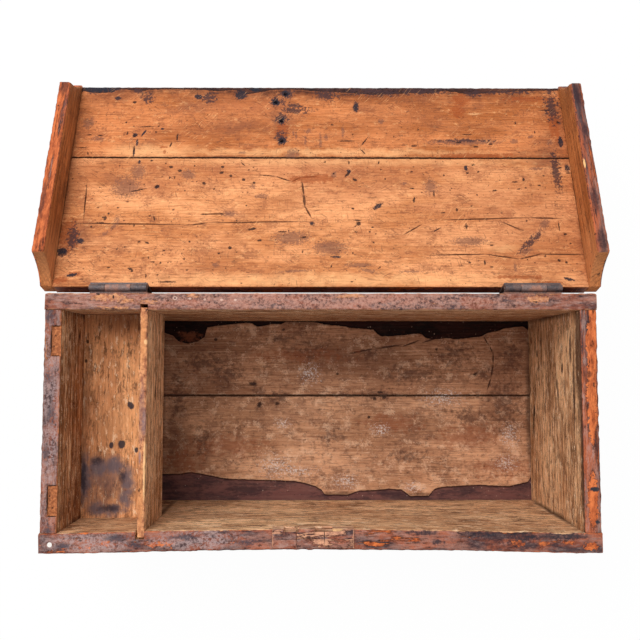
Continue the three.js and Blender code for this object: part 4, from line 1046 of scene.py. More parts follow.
battenPine = {
    "light": (0.5, 0.165, 0.05), "dark": (0.33, 0.1, 0.028), "ring": (0.15, 0.048, 0.014), "ringShare": 0.35,
    "fibre": (0.09, 0.03, 0.012), "fibreShare": 0.55, "heart": (-200, 300), "ringWidth": 4, "wander": 9,
    "bleach": (0.66, 0.26, 0.095), "bleachShare": 0.45, "pore": (0.06, 0.02, 0.01), "poreShare": 0.6,
    "roughness": 0.65, "sheen": 0.08,
}
battenSet = {
    "left": {
        "outer": -380.4, "inner": -364, "worn": 0.66, "dusty": 0.1, "red": 0.95, "bareLight": (0.62, 0.165, 0.055),
        "bareDark": (0.34, 0.08, 0.03),
        "stains": [
            stained([
                ((-380.4, 170, 44), (1.8, 220, 3)), ((-364, 170, 44), (1.4, 220, 3)), ((-372, 300, 44), (7, 22, 3)),
                ((-376, 110, 44), (4, 40, 3)), ((-372, 14, 44), (9, 8, 3)),
            ], 0.5, 2.4, 0.75, (0.09, 0.03, 0.022), broken=0.3),
        ],
    },
    "right": {
        "outer": 380.4, "inner": 364, "worn": 0.34, "dusty": 0.2, "red": 0.85, "bareLight": (0.6, 0.15, 0.045),
        "bareDark": (0.34, 0.08, 0.03),
        "stains": [
            stained([
                ((380.4, 170, 44), (1.8, 220, 3)), ((364, 170, 44), (1.4, 220, 3)), ((372, 285, 44), (8, 30, 3)),
                ((374, 225, 44), (6, 16, 3)), ((372, 110, 44), (8, 26, 3)), ((372, 48, 44), (9, 26, 3)),
                ((373, 8, 44), (9, 10, 3)),
            ], 0.6, 4, 0.85, (0.04, 0.02, 0.024), broken=0.35),
            stained([((365.6, 168, 44), (1.8, 9, 3))], 0.4, 1, 0.9, (0.86, 0.5, 0.22)),
        ],
    },
}
wornShape = {
    "reach": 4, "wear": 0.7, "wearTexture": cloudTexture("rubbed", 60), "chip": 1.3,
    "chipTexture": cloudTexture("chipped", 9, 3, 0.6),
}
battenShape = {
    **wornShape, "axis": 1, "span": (-1, 337.4), "rows": 84,
    "supports": [(2, 40.5), (2, -18.5), (0, -377), (0, -367), (0, 377), (0, 367)], "wear": 0.8, "chip": 1.2,
}
for name, own in battenSet.items():
    outer, inner = own["outer"], own["inner"]
    coat = {key: own[key] for key in ("worn", "dusty", "red", "bareLight", "bareDark")}
    arrises = [
        ((0, inner), (2, 44)), ((0, outer), (2, 44)), ((0, outer), (2, -22)), ((0, outer), (1, 337.4)),
        ((0, inner), (1, 337.4)),
    ]
    batten = wornBoard(f"{name}Batten", f"lid_batten_{name}", {**battenShape, "arrises": arrises}, lidWorld)
    replaceNode(batten, f"lid_batten_{name}", "lid", woodFinish(f"{name}BattenPine", {
        "onLid": True, "grain": "y", "seed": 3.1 + outer / 380.4, "wood": battenPine,
        "low": (min(outer, inner), 0, -22), "high": (max(outer, inner), 337.4, 44),
        "coat": {
            **coat, "stretch": (0.32, 1.3, 1.3), "edgeReach": 2.5, "edgeRagged": 4, "edgeShare": 0.7,
            "faces": [(0, outer, 1.7), (2, 44, 1.6), (2, -22, 1.6), (1, 337.4, 6)],
        },
        "grimes": [dirty(30, 0.5, 0.62, 0.6, (0.08, 0.03, 0.015))],
        "washes": [
            stained([((inner, 300, 20), (30, 70, 60))], 0.9, 12, 0.4, (0.16, 0.055, 0.018)),
            stained([((inner, 30, 20), (30, 70, 60))], 0.9, 12, 0.4, (0.7, 0.29, 0.12)),
            stained([((inner, 170, -1), (30, 190, 4))], 0.9, 3, 0.5, (0.05, 0.018, 0.01)),
        ],
        "stains": own["stains"], "dents": [knocked(15, 0.09, 0.3, 0.8, (0.05, 0.025, 0.02), 0.6)],
    }))
print("battens finished")

wallPine = {
    "light": (0.93, 0.52, 0.27), "dark": (0.62, 0.3, 0.14), "ring": (0.27, 0.11, 0.045), "ringShare": 0.22,
    "fibre": (0.13, 0.052, 0.022), "fibreShare": 0.9, "heart": (-220, 340), "ringWidth": 4.4, "wander": 8,
    "bleach": (1, 0.72, 0.45), "bleachShare": 0.8, "pore": (0.05, 0.022, 0.012), "poreShare": 0.95, "roughness": 0.85,
    "sheen": 0.08,
}
wallGrimes = [
    dirty(60, 0.49, 0.62, 0.4, (0.2, 0.085, 0.04)), dirty(14, 0.51, 0.6, 0.6, (0.13, 0.055, 0.03), shift=(50, 20, 0)),
    dirty(7, 0.545, 0.58, 0.72, (0.1, 0.042, 0.022), shift=(20, 70, 40), stretch=(0.3, 1, 1)),
    dirty(6, 0.555, 0.595, 0.7, (1, 0.74, 0.5), shift=(90, 10, 60), stretch=(0.35, 1, 1)),
]
caseCoat = {
    "worn": 0.4, "dusty": 0.95, "red": 0.4, "stretch": (0.8, 1, 1), "edgeReach": 1.6, "edgeRagged": 3.6,
    "edgeShare": 0.55, "bareLight": (0.68, 0.25, 0.09), "bareDark": (0.38, 0.115, 0.045),
}
wallDents = [
    knocked(13, 0.1, 0.3, 0.75, (0.05, 0.024, 0.02), 0.6, stretch=(0.5, 1, 1)),
    knocked(5.5, 0.15, 0.15, 0.5, (0.12, 0.05, 0.03), 0.3, shift=(30, 60, 90)),
]
topOrange = [
    (283.8, 160.4, 21.1, 6.6), (-299.4, 161.5, 3.9, 3.4), (252.9, -156.4, 12.9, 5.8), (286.3, -156.5, 9.7, 4.5),
    (317.3, -154.6, 11, 3), (348.1, -158.5, 12.9, 6.3), (-303.8, -161.3, 11.5, 3), (-206.6, -158.9, 25.6, 3.8),
    (-277.1, -156.3, 7.7, 5), (-276.9, 162, 31.4, 6.5), (-275.4, 148.6, 32.7, 1.8),
]
topBlack = [
    (313.6, -146.5, 40, 5.2), (259.5, -148, 29, 6.2), (204.1, -146.5, 28, 5), (130, -145.5, 26, 4),
    (150, -158, 12, 4),
]
frontBow = {"halfSpan": 318, "base": wallBase, "height": 227.7, "reach": 5.2}
# painted shade for the inner corners of the case and the floor's edges by the walls; the same colour also darkens a
# strip along the top of the side walls
cornerShadeAndDirt = (0.05, 0.022, 0.014)
arrisDirt = (0.045, 0.02, 0.02)
caseTopShape = {
    **wornShape,
    "supports": [
        (2, 240.5), (2, 20), (1, -164.5), (1, -145.5), (1, 149.5), (1, 164.5), (0, -358.5), (0, 358.5), (0, -343.5),
        (0, 343.5),
    ],
}
level = Matrix()
frontShape = {
    **caseTopShape, "supports": caseTopShape["supports"] + [(2, 222.5), (2, 219)], "axis": 0,
    "span": (-halfLength, halfLength), "rows": 181, "bow": frontBow,
    "arrises": wallArrises(-168, -142),
}
frontPiece = wornBoard("frontBoard", "front_board", frontShape, level)
replaceNode(frontPiece, "front_board", "chest", woodFinish("frontBoardPine", {
    "grain": "x", "seed": 4.2, "wood": toned(wallPine, (1, 0.6, 0.33), (0.69, 0.35, 0.175)), "bow": frontBow,
    "low": (-halfLength, -168, wallBase), "high": (halfLength, -142, topLevel), "grimes": wallGrimes,
    "coat": {
        **caseCoat, "worn": 0.34, "red": 0.55, "dusty": 0.6,
        "faces": [(2, topLevel, 1.4), (1, -168, 1.5), (0, halfLength, 1.2), (0, -halfLength, 1.2)],
        "bareSpots": onTop(topOrange, 6), "keptSpots": onTop(topBlack, 6), "bareLight": (0.72, 0.19, 0.055),
        "bareDark": (0.4, 0.09, 0.032),
    },
    "washes": [
        stained([((-280, -142, 190), (60, 8, 70))], 0.9, 9, 0.35, (0.3, 0.13, 0.06)),
        # painted shade along the foot of the front wall's inner face and in its two inner corners
        stained(
            [((0, -142, 14), (420, 8, 9)), ((-232, -142, 120), (7, 8, 150)), ((340, -142, 120), (8, 8, 150))], 0.9, 4,
            0.75, cornerShadeAndDirt,
        ),
    ],
    "stains": [
        stained(onTop([(-300, -155, 90, 18), (-160, -155, 90, 18)]), 0.6, 9, 0.8, (0.43, 0.3, 0.285), broken=0.9),
        stained(onTop([
            (-330, -158, 16, 7), (-262, -150, 24, 6), (-240, -160, 16, 6), (-180, -150, 30, 5), (-95, -158, 26, 6),
        ]), 0.7, 8, 0.85, (0.05, 0.042, 0.056), broken=0.3),
        stained(onTop([(240, -155, 130, 16)]), 0.9, 9, 0.75, (0.05, 0.026, 0.03), broken=0.6),
        stained(
            [((0, -168, topLevel), (480, 1.8, 3)), ((-halfLength, -155, topLevel), (1.6, 20, 3))], 0.5, 1.6, 0.7,
            arrisDirt, broken=0.3,
        ),
        stained(onTop(topBlack), 0.5, 6, 0.9, (0.03, 0.026, 0.034), broken=0.4),
        stained(onTop([
            (-1.6, -142.2, 15, 1.9), (309.8, -142.3, 16, 1.7), (240, -142.2, 34, 1.5), (175, -142.2, 9, 2.2),
            (110, -142.2, 30, 1.2), (-140, -142.2, 30, 0.9),
        ]), 0.4, 1.4, 0.9, (0.85, 0.5, 0.27), broken=0.5),
        stained(onTop([(-348, -156.2, 3.3, 3.3)]), 0.12, 0.3, 1, (0.82, 0.78, 0.74)),
    ],
    "dents": wallDents,
}))
backShape = {
    **caseTopShape, "axis": 0, "span": (-halfLength, halfLength), "rows": 181,
    "arrises": wallArrises(168, 146),
}
backPiece = wornBoard("backBoard", "back_board", backShape, level)
replaceNode(backPiece, "back_board", "chest", woodFinish("backBoardPine", {
    "grain": "x", "seed": 5.4, "wood": toned(wallPine, (0.56, 0.26, 0.12), (0.37, 0.155, 0.066)),
    "low": (-halfLength, 146, wallBase), "high": (halfLength, 168, topLevel), "grimes": wallGrimes,
    "coat": {
        **caseCoat, "worn": 0.27,
        "faces": [(2, topLevel, 1.4), (1, 168, 1.5), (0, halfLength, 1.2), (0, -halfLength, 1.2)],
        "bareSpots": onTop(topOrange, 6), "bareLight": (0.66, 0.3, 0.14), "bareDark": (0.4, 0.15, 0.07),
    },
    "stains": [
        stained(onTop([(0, 157, 460, 18)]), 0.6, 9, 0.72, (0.52, 0.265, 0.2), broken=0.85),
        stained(
            onTop([(-272.6, 162.8, 1.4, 3), (-292.7, 166.7, 3.1, 1.6)], 4), 0.4, 0.8, 0.95, (0.02, 0.015, 0.015),
            pit=0.8,
        ),
        stained(onTop([
            (-191.8, 161.5, 3.7, 2.9), (-172.1, 160.6, 2.4, 2), (-152.8, 159.5, 2, 1.7), (-130.8, 159.3, 2.2, 1.8),
            (-112.7, 158.9, 2, 1.7),
        ]), 0.35, 0.7, 0.85, (0.66, 0.44, 0.36), without=onTop([(-191.8, 161.5, 2, 1.5)])),
    ],
    "dents": wallDents,
}))
gainFloors = [((-346.5, 105, 242.2), (30, 60, 0.7)), ((-346.5, -101, 242.2), (30, 60, 0.7))]
rightBlack = [(353.9, -86.2, 7.1, 3.3), (356.7, -128.1, 3.9, 2.8)]
sideSet = {
    "left": {
        "outer": -362, "inner": -340, "worn": 0.24, "red": 0.35, "seed": 6.5,
        "wood": toned(wallPine, (0.58, 0.255, 0.105), (0.34, 0.13, 0.048)),
        "stains": [
            stained([((-352, 0, topLevel), (18, 220, 2))], 0.6, 9, 0.7, (0.4, 0.28, 0.27), broken=0.9),
            stained([
                ((-354, 60, topLevel), (8, 14, 2)), ((-350, 10, topLevel), (9, 22, 2)),
                ((-356, -40, topLevel), (7, 20, 2)), ((-350, -140, topLevel), (10, 16, 2)),
                ((-354, 140, topLevel), (9, 18, 2)),
            ], 0.7, 7, 0.8, (0.05, 0.04, 0.052), broken=0.35),
            stained([((-362, 0, topLevel), (1.8, 220, 3))], 0.5, 1.6, 0.7, arrisDirt, broken=0.3),
            stained(
                [((-340, 116.3, 169.4), (4, 7, 3)), ((-340, 60, 60), (5, 4, 12))], 0.4, 2, 0.85, (0.03, 0.015, 0.012),
                pit=0.5,
            ),
            stained(gainFloors, 0.3, 0.2, 0.9, (0.66, 0.23, 0.085)),
            stained(gainFloors, 0.3, 0.2, 0.8, (0.2, 0.058, 0.026), broken=0.62),
            stained(flat([
                (-349, 98, 1, 1.2), (-347, 112, 1.1, 1), (-350, -95, 1.1, 1.2), (-346, -110, 1.2, 1),
                (-352.6, 105, 1, 21), (-352.6, -101, 1, 21), (-346.5, 124.6, 7, 0.9), (-346.5, 85.4, 7, 0.9),
                (-346.5, -81.4, 7, 0.9), (-346.5, -120.6, 7, 0.9),
            ], 242.4, 3), 0.4, 0.8, 0.9, (0.04, 0.018, 0.012), pit=0.4),
        ],
    },
    "right": {
        "outer": 362, "inner": 340, "worn": 0.4, "red": 0.8, "seed": 7.7, "wood": wallPine,
        "bareSpots": onTop([(351, -100.2, 8.5, 48), (352.9, 28.3, 8.5, 82), (352, 99.9, 7, 42)], 6),
        "keptSpots": onTop(rightBlack, 6), "bareLight": (0.74, 0.2, 0.064),
        "bareDark": (0.45, 0.105, 0.036), "stretch": (0.35, 1, 1),
        "stains": [
            stained([
                ((362, 0, topLevel), (2, 220, 3)), ((340, 0, topLevel), (1.3, 220, 3)),
                ((350, 62, topLevel), (4, 6, 3)), ((357, -30, topLevel), (3, 30, 3)),
            ], 0.5, 1.8, 0.8, arrisDirt, broken=0.35),
            stained(onTop(rightBlack, 5), 0.4, 2.5, 0.9, (0.03, 0.035, 0.045)),
            stained([
                ((340, 45.3, 149), (20, 10, 5)), ((340, 30, 152), (20, 22, 3)), ((340, 96, 205), (20, 26, 6)),
                ((340, 40, 215), (20, 60, 5)), ((340, 70, 172), (20, 9, 5)), ((340, 92, 60), (20, 8, 5)),
                ((340, 110, 80), (20, 10, 4)),
            ], 0.5, 3, 0.85, (0.045, 0.022, 0.018), broken=0.3, pit=0.4),
            stained([
                ((340, -22, 36), (20, 32, 3)), ((340, 2, 40), (20, 12, 4.5)), ((340, 20, 140), (5, 40, 0.8)),
                ((340, 62, 120), (5, 60, 0.7)),
            ], 0.5, 1.2, 0.95, (0.015, 0.008, 0.007), pit=1),
        ],
    },
}
sideCoatKeys = ("worn", "red", "bareSpots", "keptSpots", "bareLight", "bareDark", "stretch")
rightStrip = stained(
    [((340, 90, 241), (3, 130, 26)), ((340, -60, 241), (3, 130, 9))], 0.5, 7, 0.85, (0.075, 0.03, 0.017), scale=0.05,
)
for name, own in sideSet.items():
    outer, inner = own["outer"], own["inner"]
    coat = {**caseCoat, "faces": [(2, topLevel, 1.4), (0, outer, 1.4), (1, 168, 1), (1, -168, 1)]}
    coat.update({key: own[key] for key in sideCoatKeys if key in own})
    sideShape = {
        **caseTopShape, "axis": 1, "span": (-168, 168), "rows": 84,
        "arrises": [((0, outer), (2, topLevel)), ((0, inner), (2, topLevel))],
    }
    sidePiece = wornBoard(f"{name}SideBoard", f"{name}_side_board", sideShape, level)
    replaceNode(sidePiece, f"{name}_side_board", "chest", woodFinish(f"{name}SidePine", {
        "grain": "y", "seed": own["seed"], "wood": own["wood"], "grimes": wallGrimes,
        "low": (min(outer, inner), -168, wallBase), "high": (max(outer, inner), 168, topLevel), "coat": coat,
        "washes": [
            # painted shade along the foot and in the two inner corners of each side wall, and a dark strip along its
            # top
            stained([
                ((inner, 0, 14), (6, 200, 9)), ((inner, 146, 120), (6, 9, 150)), ((inner, -142, 120), (6, 7, 150)),
            ], 0.9, 4, 0.8, cornerShadeAndDirt),
            stained([((inner, 0, 243), (5, 200, 5))], 0.8, 3, 0.7, cornerShadeAndDirt), rightStrip,
        ],
        "stains": own["stains"], "dents": wallDents,
    }))
print("case boards finished")

floorPine = {
    "light": (0.72, 0.375, 0.21), "dark": (0.48, 0.235, 0.125), "ring": (0.25, 0.11, 0.06), "ringShare": 0.12,
    "fibre": (0.2, 0.09, 0.05), "fibreShare": 0.34, "heart": (-400, 500), "ringWidth": 4, "wander": 9,
    "bleach": (0.82, 0.52, 0.34), "bleachShare": 0.34, "pore": (0.1, 0.045, 0.03), "poreShare": 0.5,
    "roughness": 0.85, "sheen": 0.08,
}
floorTop = 16
floorLost = [
    {
        "rim": (0.025, 0.011, 0.01), "colour": (0.17, 0.07, 0.064), "deep": (0.06, 0.03, 0.036),
        "lip": (0.6, 0.34, 0.2), "share": 0.95, "ragged": 1.6, "depth": 0.9, "level": floorTop, "sign": -1,
        "points": [
            (-340, -99), (-253.8, -100.8), (-226.9, -100.8), (-219.1, -99.4), (-207.4, -98), (-195.8, -99.9),
            (-180.1, -102.8), (-164.5, -105.8), (-148.9, -108.7), (-129.4, -109.2), (-100.1, -110.2), (-80.5, -110.6),
            (-55.3, -111.6), (-39.6, -112.3), (-24, -115.5), (-8.4, -120.2), (1.4, -125.2), (7.2, -134), (45.3, -134),
            (62.5, -127.6), (88.5, -126.5), (110, -124.5), (131.6, -126.1), (144.5, -136), (174.6, -136),
            (183.3, -125.5), (192.1, -122.3), (207.1, -120.8), (231, -119.7), (256.8, -118.3), (282.7, -119.9),
            (304.3, -120.9), (319.6, -117.2), (334.8, -113.6), (339.1, -107.7), (342.5, -100),
        ],
    },
    # the band along the foot of the back wall, made nearly black: part stain, part painted shade from the back wall
    {
        "rim": (0.006, 0.003, 0.003), "colour": (0.022, 0.0065, 0.006), "deep": (0.004, 0.003, 0.004),
        "lip": (0.34, 0.17, 0.1), "share": 0.98, "ragged": 1.8, "depth": 0.9, "level": floorTop, "sign": 1,
        "points": [
            (-340, 130), (-254.5, 127.8), (-239.6, 121.9), (-229.7, 111.9), (-213.9, 109), (-200.1, 112.9),
            (-188.3, 119.9), (-186.5, 129.7), (-184.6, 135.8), (-170.7, 138.1), (-146.9, 140.7), (-123.3, 143.6),
            (-111.4, 142.7), (-103.5, 136.8), (-91.6, 138.7), (-75.8, 141.7), (-63.9, 140.7), (-56.1, 145.2),
            (-12.4, 145.2), (7.3, 140.7), (39, 137.8), (46, 135.7), (67.9, 133.9), (87.5, 132.4), (91.9, 125.9),
            (100.7, 121.5), (115.9, 121.5), (137.8, 123.6), (159.7, 125.9), (166.3, 124.7), (172.9, 118.2),
            (190.4, 117.1), (205.7, 118.7), (225.3, 116.7), (247.3, 119.4), (264.8, 121.5), (273.7, 127),
            (291.3, 130.3), (300.1, 134.6), (319.9, 136.9), (333, 137.9), (339.6, 132),
        ],
    },
]
floorMarks = {
    "crack": marked(0.8, 0.4, 0.16, 0.85, (0.03, 0.012, 0.01)),
    "smear": marked(0.14, 2.8, 0.26, 0.66, (0.1, 0.046, 0.034), gain=0.62),
    "rust": marked(0.1, 2.6, 0.22, 0.55, (0.3, 0.09, 0.04), gain=0.7),
    "powder": marked(0.34, 2.8, 0.16, 0.7, (0.8, 0.72, 0.68), gain=0.36),
    "knock": marked(0.8, 1.5, 0.12, 0.85, (0.035, 0.018, 0.016)),
}
floorPaints = {
    "crack": [
        (67, 97, 22, 0.9, 11), (111, 104, 23, 1, 8), (148, 109.5, 16, 0.9, 20), (181, 115.5, 19, 0.8, 18),
        (271, 114, 9, 1.3, -60), (279, 100, 7, 1.3, -63), (282.2, 85, 9, 1.3, 88), (280, 65, 12, 1.3, 80),
        (275, 44, 11, 1.2, 72),
    ],
    "smear": [
        (-109.1, 43.6, 7.5, 4.5), (-16.6, 95, 24, 14), (-187, 80, 34, 12), (-232, 20, 12, 40),
        (-188, -52, 13, 20, 10), (-97, 32, 14, 5), (-66, 22, 18, 8), (-98.6, 10, 7, 7), (97, 27, 22, 9),
        (40, 28, 14, 6), (81, 92, 12, 10), (238, -8, 26, 12), (300, 10, 26, 40), (310, 90, 20, 24), (262, 60, 16, 12),
        (-60, 118, 24, 8), (150, 60, 40, 14), (220, 92, 30, 22), (-150, 60, 26, 16), (20, -40, 20, 10),
        (140, -70, 26, 10),
    ],
    "rust": [
        (240, -40, 46, 20), (-215, 120, 20, 9), (-145, -55, 60, 16), (290, -90, 40, 16), (-30, 90, 70, 12),
        (110, -20, 50, 14), (-220, -80, 30, 16),
    ],
    "powder": [
        (-16.6, 59.8, 17, 15), (-72.9, -88, 24, 17), (-40, -96, 34, 8), (42, -112, 20, 12), (150, -122, 14, 8),
        (300, -84, 16, 12), (306, -40, 14, 18), (97, -30, 14, 10), (-60, -20, 12, 8), (200, 20, 30, 12),
    ],
    "knock": [
        (-109.1, 43.6, 6, 2.6), (-98.6, 10, 3.4, 4.2), (-70, 12, 4, 2.4, 20), (97, 30, 5, 2), (104, 22, 4, 2.4),
        (88, 20, 3, 2.6), (79, -10, 2.4, 2.4), (-170, 116, 3, 3), (-60, 132, 2.6, 2), (190, 100, 2.6, 2.2),
        (28, 60, 2.2, 2), (252, 60, 4, 2, 30),
    ],
}
floorShape = {
    "step": 2, "thickness": 16, "underArris": 1, "least": 1.3, "ripple": 0.35,
    "rippleTexture": lidShape["rippleTexture"], "edgeReach": 3, "edgeLoss": 1.2,
    "edgeTexture": lidShape["edgeTexture"], "lost": floorLost,
}
floorSinks = [(floorPaints["knock"], 0.8, 0.4), (floorPaints["crack"], 1.2, 0.5)]
floorLook = {
    "grain": "x", "lost": floorLost, "painted": [{"attribute": key, **mark} for key, mark in floorMarks.items()],
    "low": (-362, -168, 0), "high": (362, 168, 16),
    "coat": {**caseCoat, "faces": [(0, 362, 2), (0, -362, 2), (1, 168, 2), (1, -168, 2)]},
    "grimes": [
        dirty(90, 0.48, 0.6, 0.5, (0.26, 0.115, 0.065), stretch=(0.7, 1, 1)),
        dirty(30, 0.5, 0.6, 0.55, (0.19, 0.083, 0.05), shift=(50, 20, 0), stretch=(0.8, 1, 1)),
        dirty(18, 0.52, 0.6, 0.5, (0.88, 0.58, 0.39), shift=(10, 90, 0), stretch=(0.9, 1, 1)),
        dirty(7, 0.53, 0.6, 0.55, (0.13, 0.058, 0.036), shift=(70, 9, 0), stretch=(0.9, 1, 1)),
    ],
    "washes": [
        stained(flat(
            [(-187, 52, 90, 55), (48.4, 83.3, 150, 40), (292.8, 63, 55, 90), (-232, -33.6, 30, 95)], floorTop,
        ), 0.95, 22, 0.5, (0.2, 0.085, 0.05)),
        # painted shade along the floor's edges by the walls and in a strip under the till
        stained(
            flat([(0, 148, 360, 9), (-258, 0, 10, 160), (340, 0, 8, 160), (0, -133, 360, 5)], floorTop), 0.8, 5, 0.7,
            cornerShadeAndDirt,
        ),
    ],
    "dents": [
        knocked(9, 0.12, 0.25, 0.6, (0.08, 0.035, 0.025), 0.5),
        knocked(4, 0.16, 0.1, 0.5, (0.72, 0.52, 0.4), 0.1, shift=(40, 11, 0)),
    ],
}
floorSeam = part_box("bottom_board_rear")[0][1] / mm
floorSeamDirt = stained(flat([(0, floorSeam, 900, 2.4)], floorTop), 0.5, 1.2, 0.92, (0.02, 0.01, 0.008))
for name, node, seed, wood in (
    ("bottomFrontBoard", "bottom_board_front", 8.4, floorPine),
    ("bottomRearBoard", "bottom_board_rear", 9.9, toned(floorPine, (0.54, 0.265, 0.145), (0.35, 0.16, 0.085))),
):
    low, high = [Vector(corner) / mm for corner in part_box(node)]
    if node.endswith("front"):
        high.y = floorSeam - 0.7
    else:
        low.y = floorSeam + 0.7
    shape = {**floorShape, "alongX": (low.x, high.x), "alongY": (low.y, high.y), "thickness": high.z - low.z}
    if node.endswith("rear"):
        shape["tongue"] = floorSeam
    board = fineBoard(name, shape, floorPaints, floorSinks, Matrix.Translation((0, 0, high.z * mm)))
    finish = woodFinish(f"{name}Pine", {**floorLook, "seed": seed, "wood": wood, "stains": [floorSeamDirt]})
    replaceNode(board, node, "chest", finish)
print("bottom shaped")

tillPine = {
    "light": (0.93, 0.44, 0.195), "dark": (0.66, 0.28, 0.12), "ring": (0.36, 0.13, 0.048), "ringShare": 0.16,
    "fibre": (0.3, 0.105, 0.04), "fibreShare": 0.42, "heart": (-260, 300), "ringWidth": 5, "wander": 8,
    "bleach": (0.84, 0.46, 0.24), "bleachShare": 0.4, "pore": (0.13, 0.05, 0.025), "poreShare": 0.7, "roughness": 0.8,
    "sheen": 0.08,
}
tillLevel = 151
dress(["till_floor"], woodFinish("tillFloorPine", {
    "grain": "y", "seed": 10.2, "wood": tillPine, "grimes": wallGrimes,
    "washes": [
        # painted shade along the till floor's back and left walls
        stained(flat([(-290, 146, 80, 44), (-336, 20, 9, 160)], tillLevel), 0.9, 10, 0.6, (0.22, 0.085, 0.04)),
        stained(flat([(-280, -10, 60, 60)], tillLevel), 0.9, 10, 0.4, (0.76, 0.36, 0.16)),
        stained(flat([(-308, -92, 50, 48)], tillLevel), 0.95, 16, 0.75, (0.17, 0.1, 0.09)),
    ],
    "stains": [
        stained(
            flat([
                (-335, -86, 13, 56), (-316, -72, 24, 24), (-295, -70, 22, 20), (-276, -90, 15, 30),
                (-277, -114, 16, 22), (-316, -130, 28, 15), (-292, -130, 24, 14),
            ], tillLevel),
            0.75, 13, 0.92, (0.16, 0.12, 0.135), without=flat([(-306, -106, 15, 15)], tillLevel), scale=0.045,
        ),
        stained(
            flat([(-337, -86, 6, 46), (-300, -128, 22, 8), (-281, -84, 8, 14), (-318, -62, 14, 8)], tillLevel), 0.8,
            10, 0.85, (0.04, 0.03, 0.04), scale=0.07,
        ),
        stained(flat([
            (-271.6, wallBase, 4.9, 6.9, 30), (-297.9, -39.6, 3.7, 5.4), (-283.3, -38.9, 5.8, 6.8),
            (-262.1, -46.7, 2.9, 4.4),
        ], tillLevel), 0.3, 2.6, 0.92, (0.03, 0.03, 0.042)),
        stained(
            flat([(-334.8, 107.5, 2.6, 3.5), (-336.7, 79.8, 2.3, 3.4)], tillLevel), 0.4, 0.8, 0.9,
            (0.05, 0.025, 0.015), pit=0.5,
        ),
    ],
    "dents": [knocked(10, 0.11, 0.25, 0.55, (0.15, 0.06, 0.03), 0.4)],
}))
tillShape = {
    **wornShape, "axis": 1, "span": (-147, 149), "rows": 98, "supports": [(2, 241), (0, -234.5), (0, -229.9)],
    "reach": 3.2, "wear": 0.6, "chip": 1.8, "arrises": [((0, -237), (2, 243.7)), ((0, -227.4), (2, 243.7))],
}
tillPiece = wornBoard("tillSide", "till_side", tillShape, level)
replaceNode(tillPiece, "till_side", "chest", woodFinish("tillSidePine", {
    "grain": "y", "seed": 11.3, "wood": toned(wallPine, (0.86, 0.43, 0.21), (0.58, 0.265, 0.115)),
    "grimes": wallGrimes, "low": (-237, -147, 140), "high": (-227.4, 149, 243.7),
    "coat": {
        **caseCoat, "faces": [(2, 243.7, 2.2)], "worn": 0.85, "dusty": 0.8, "edgeShare": 0.9,
        "bareLight": (0.72, 0.33, 0.15), "bareDark": (0.38, 0.14, 0.07),
    },
    "stains": [
        stained(
            [((-233, 108, 243.5), (5, 44, 4)), ((-233, -95, 243.5), (5, 54, 4))], 0.6, 3, 0.6, (0.66, 0.27, 0.1),
            broken=0.4,
        ),
        stained([((-233, 14, 243.5), (5, 56, 4))], 0.6, 3, 0.55, (0.17, 0.1, 0.11), broken=0.4),
        stained(
            [((-228.4, -61.4, 243.5), (2, 50, 4)), ((-229, 103.8, 243.5), (3.4, 4, 4))], 0.4, 1, 0.85,
            (0.95, 0.56, 0.27),
        ),
        stained(
            [((-229.1, 0.1, 243.5), (4.5, 24, 4)), ((-235, -46, 243.5), (3, 12, 3))], 0.6, 3, 0.75, (0.2, 0.14, 0.16),
            broken=0.4,
        ),
        stained([((-227.4, 37.3, 191.8), (3, 14, 2.6))], 0.4, 1.4, 0.95, (0.03, 0.015, 0.01), pit=1),
    ],
    "dents": wallDents,
}))
for name, seed in (("lock_patch_small", 12.1), ("lock_patch_outer", 13.6), ("lock_patch_inner", 14.2)):
    dress([name], woodFinish(f"{name}Pine", {
        "grain": "x", "seed": seed, "wood": toned(wallPine, (0.8, 0.45, 0.28), (0.56, 0.28, 0.17)),
        "grimes": wallGrimes, "bow": frontBow, "low": (-63, -168, 220), "high": (42, -142, topLevel),
        "coat": {
            **caseCoat, "faces": [(2, topLevel, 1.4)], "worn": 0.42, "dusty": 1, "red": 0.5,
            "bareLight": (0.74, 0.37, 0.22), "bareDark": (0.48, 0.23, 0.15),
        },
        "stains": [
            stained(onTop([(19, -141.6, 11.6, 3.8)], 4), 0.4, 1.5, 0.9, (0.86, 0.5, 0.24)),
            stained(onTop([(4.2, -147.9, 14.1, 0.6, -90)], 4), 0.3, 0.8, 0.9, (0.03, 0.02, 0.02), pit=1),
        ],
        "dents": wallDents,
    }))
print("till and repairs finished")


def ironFinish(name, look):
    material = bpy.data.materials.new(name)
    tree = blankTree(material)
    place = put(tree, "ShaderNodeTexCoord")
    local = move(tree, place.outputs["Object"], (1 / mm,) * 3)
    broad = speckle(tree, local, 0.09, 4.0, 0.6)
    pitting = speckle(tree, local, 0.8, 4.0, 0.7)
    scale = span(tree, broad, 0.42, 0.62)
    colour = blendColour(tree, scale, look["iron"], look["rust"])
    colour = blendColour(tree, span(tree, pitting, 0.52, 0.7), colour, look["deep"])
    colour = lay(tree, colour, look["bright"], span(tree, pitting, 0.42, 0.3), 0.6)
    rough = span(tree, pitting, 0.3, 0.7, look["smooth"], look["rough"])
    metal = times(tree, less(tree, 1.0, scale), look["metal"])
    bump = put(tree, "ShaderNodeBump", {
        "Height": pitting, "Strength": ironRelief["strength"], "Distance": ironRelief["distance"],
    })
    shader = put(tree, "ShaderNodeBsdfPrincipled", {
        "Base Color": colour, "Normal": bump.outputs[0], "Roughness": rough, "Metallic": metal,
    })
    finishTree(tree, shader)
    return material


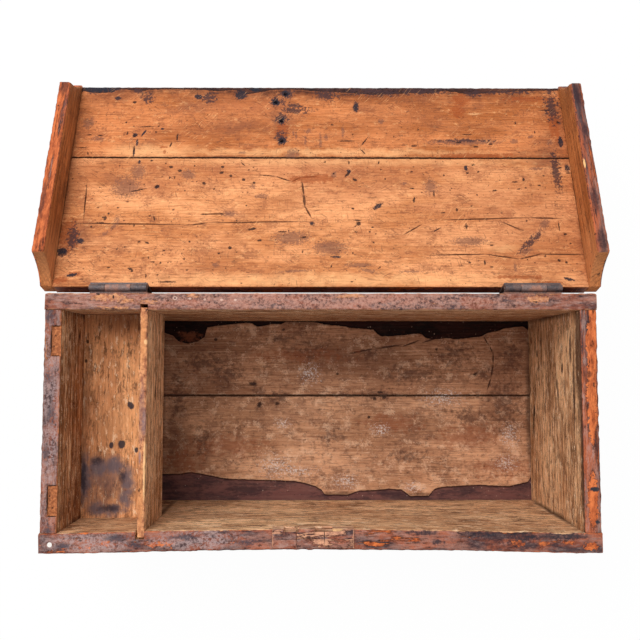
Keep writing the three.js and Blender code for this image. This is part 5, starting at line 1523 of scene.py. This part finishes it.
lidIron = ironFinish("lidLeafIron", {
    "iron": (0.085, 0.07, 0.075), "rust": (0.12, 0.07, 0.06), "deep": (0.03, 0.022, 0.022),
    "bright": (0.3, 0.25, 0.24), "smooth": 0.38, "rough": 0.75, "metal": 0.6,
})
caseIron = ironFinish("caseLeafIron", {
    "iron": (0.2, 0.14, 0.13), "rust": (0.34, 0.16, 0.11), "deep": (0.11, 0.05, 0.035), "bright": (0.5, 0.36, 0.32),
    "smooth": 0.5, "rough": 0.85, "metal": 0.35,
})
screwIron = ironFinish("screwIron", {
    "iron": (0.14, 0.125, 0.13), "rust": (0.18, 0.09, 0.06), "deep": (0.05, 0.035, 0.03), "bright": (0.36, 0.33, 0.32),
    "smooth": 0.4, "rough": 0.8, "metal": 0.5,
})
for side in ("left", "right"):
    dress([f"hinge_{side}_lid_leaf", f"hinge_{side}_pin"], lidIron)
    dress([f"hinge_{side}_case_leaf"], caseIron)
dress([name for name in nodes if "screw" in name or "nail" in name], screwIron)
print("iron finished")


def paleGlow(tree, glow):
    rays = put(tree, "ShaderNodeLightPath").outputs
    seen = most(tree, [rays["Is Camera Ray"], rays["Is Glossy Ray"], rays["Is Transmission Ray"]])
    return times(tree, seen, glow)


bpy.ops.object.select_all(action="DESELECT")
bpy.ops.mesh.primitive_plane_add(size=lightSet["floorSize"], location=(0, 0, -lightSet["floorDrop"]))
studioFloor = bpy.context.active_object
studioFloor.name = "studioFloor"
floorPaint = bpy.data.materials.new("floorPaint")
floorTree = blankTree(floorPaint)
floorDiffuse = put(floorTree, "ShaderNodeBsdfDiffuse", {"Color": lightSet["floorColour"]})
floorWhite = put(floorTree, "ShaderNodeEmission", {"Color": (1, 1, 1), "Strength": 1.0})
finishTree(floorTree, put(floorTree, "ShaderNodeMixShader", {
    0: paleGlow(floorTree, lightSet["floorGlow"]), 1: floorDiffuse.outputs[0], 2: floorWhite.outputs[0],
}))
studioFloor.data.materials.append(floorPaint)

world = bpy.data.worlds.new("studioSky")
bpy.context.scene.world = world
skyTree = blankTree(world)
skyLight = put(skyTree, "ShaderNodeBackground", {"Color": lightSet["skyColour"], "Strength": lightSet["skyStrength"]})
skyWhite = put(skyTree, "ShaderNodeBackground", {"Color": (1, 1, 1), "Strength": 1.0})
finishTree(skyTree, put(skyTree, "ShaderNodeMixShader", {
    0: paleGlow(skyTree, 1.0), 1: skyLight.outputs[0], 2: skyWhite.outputs[0],
}), "ShaderNodeOutputWorld")
print("studio ready")
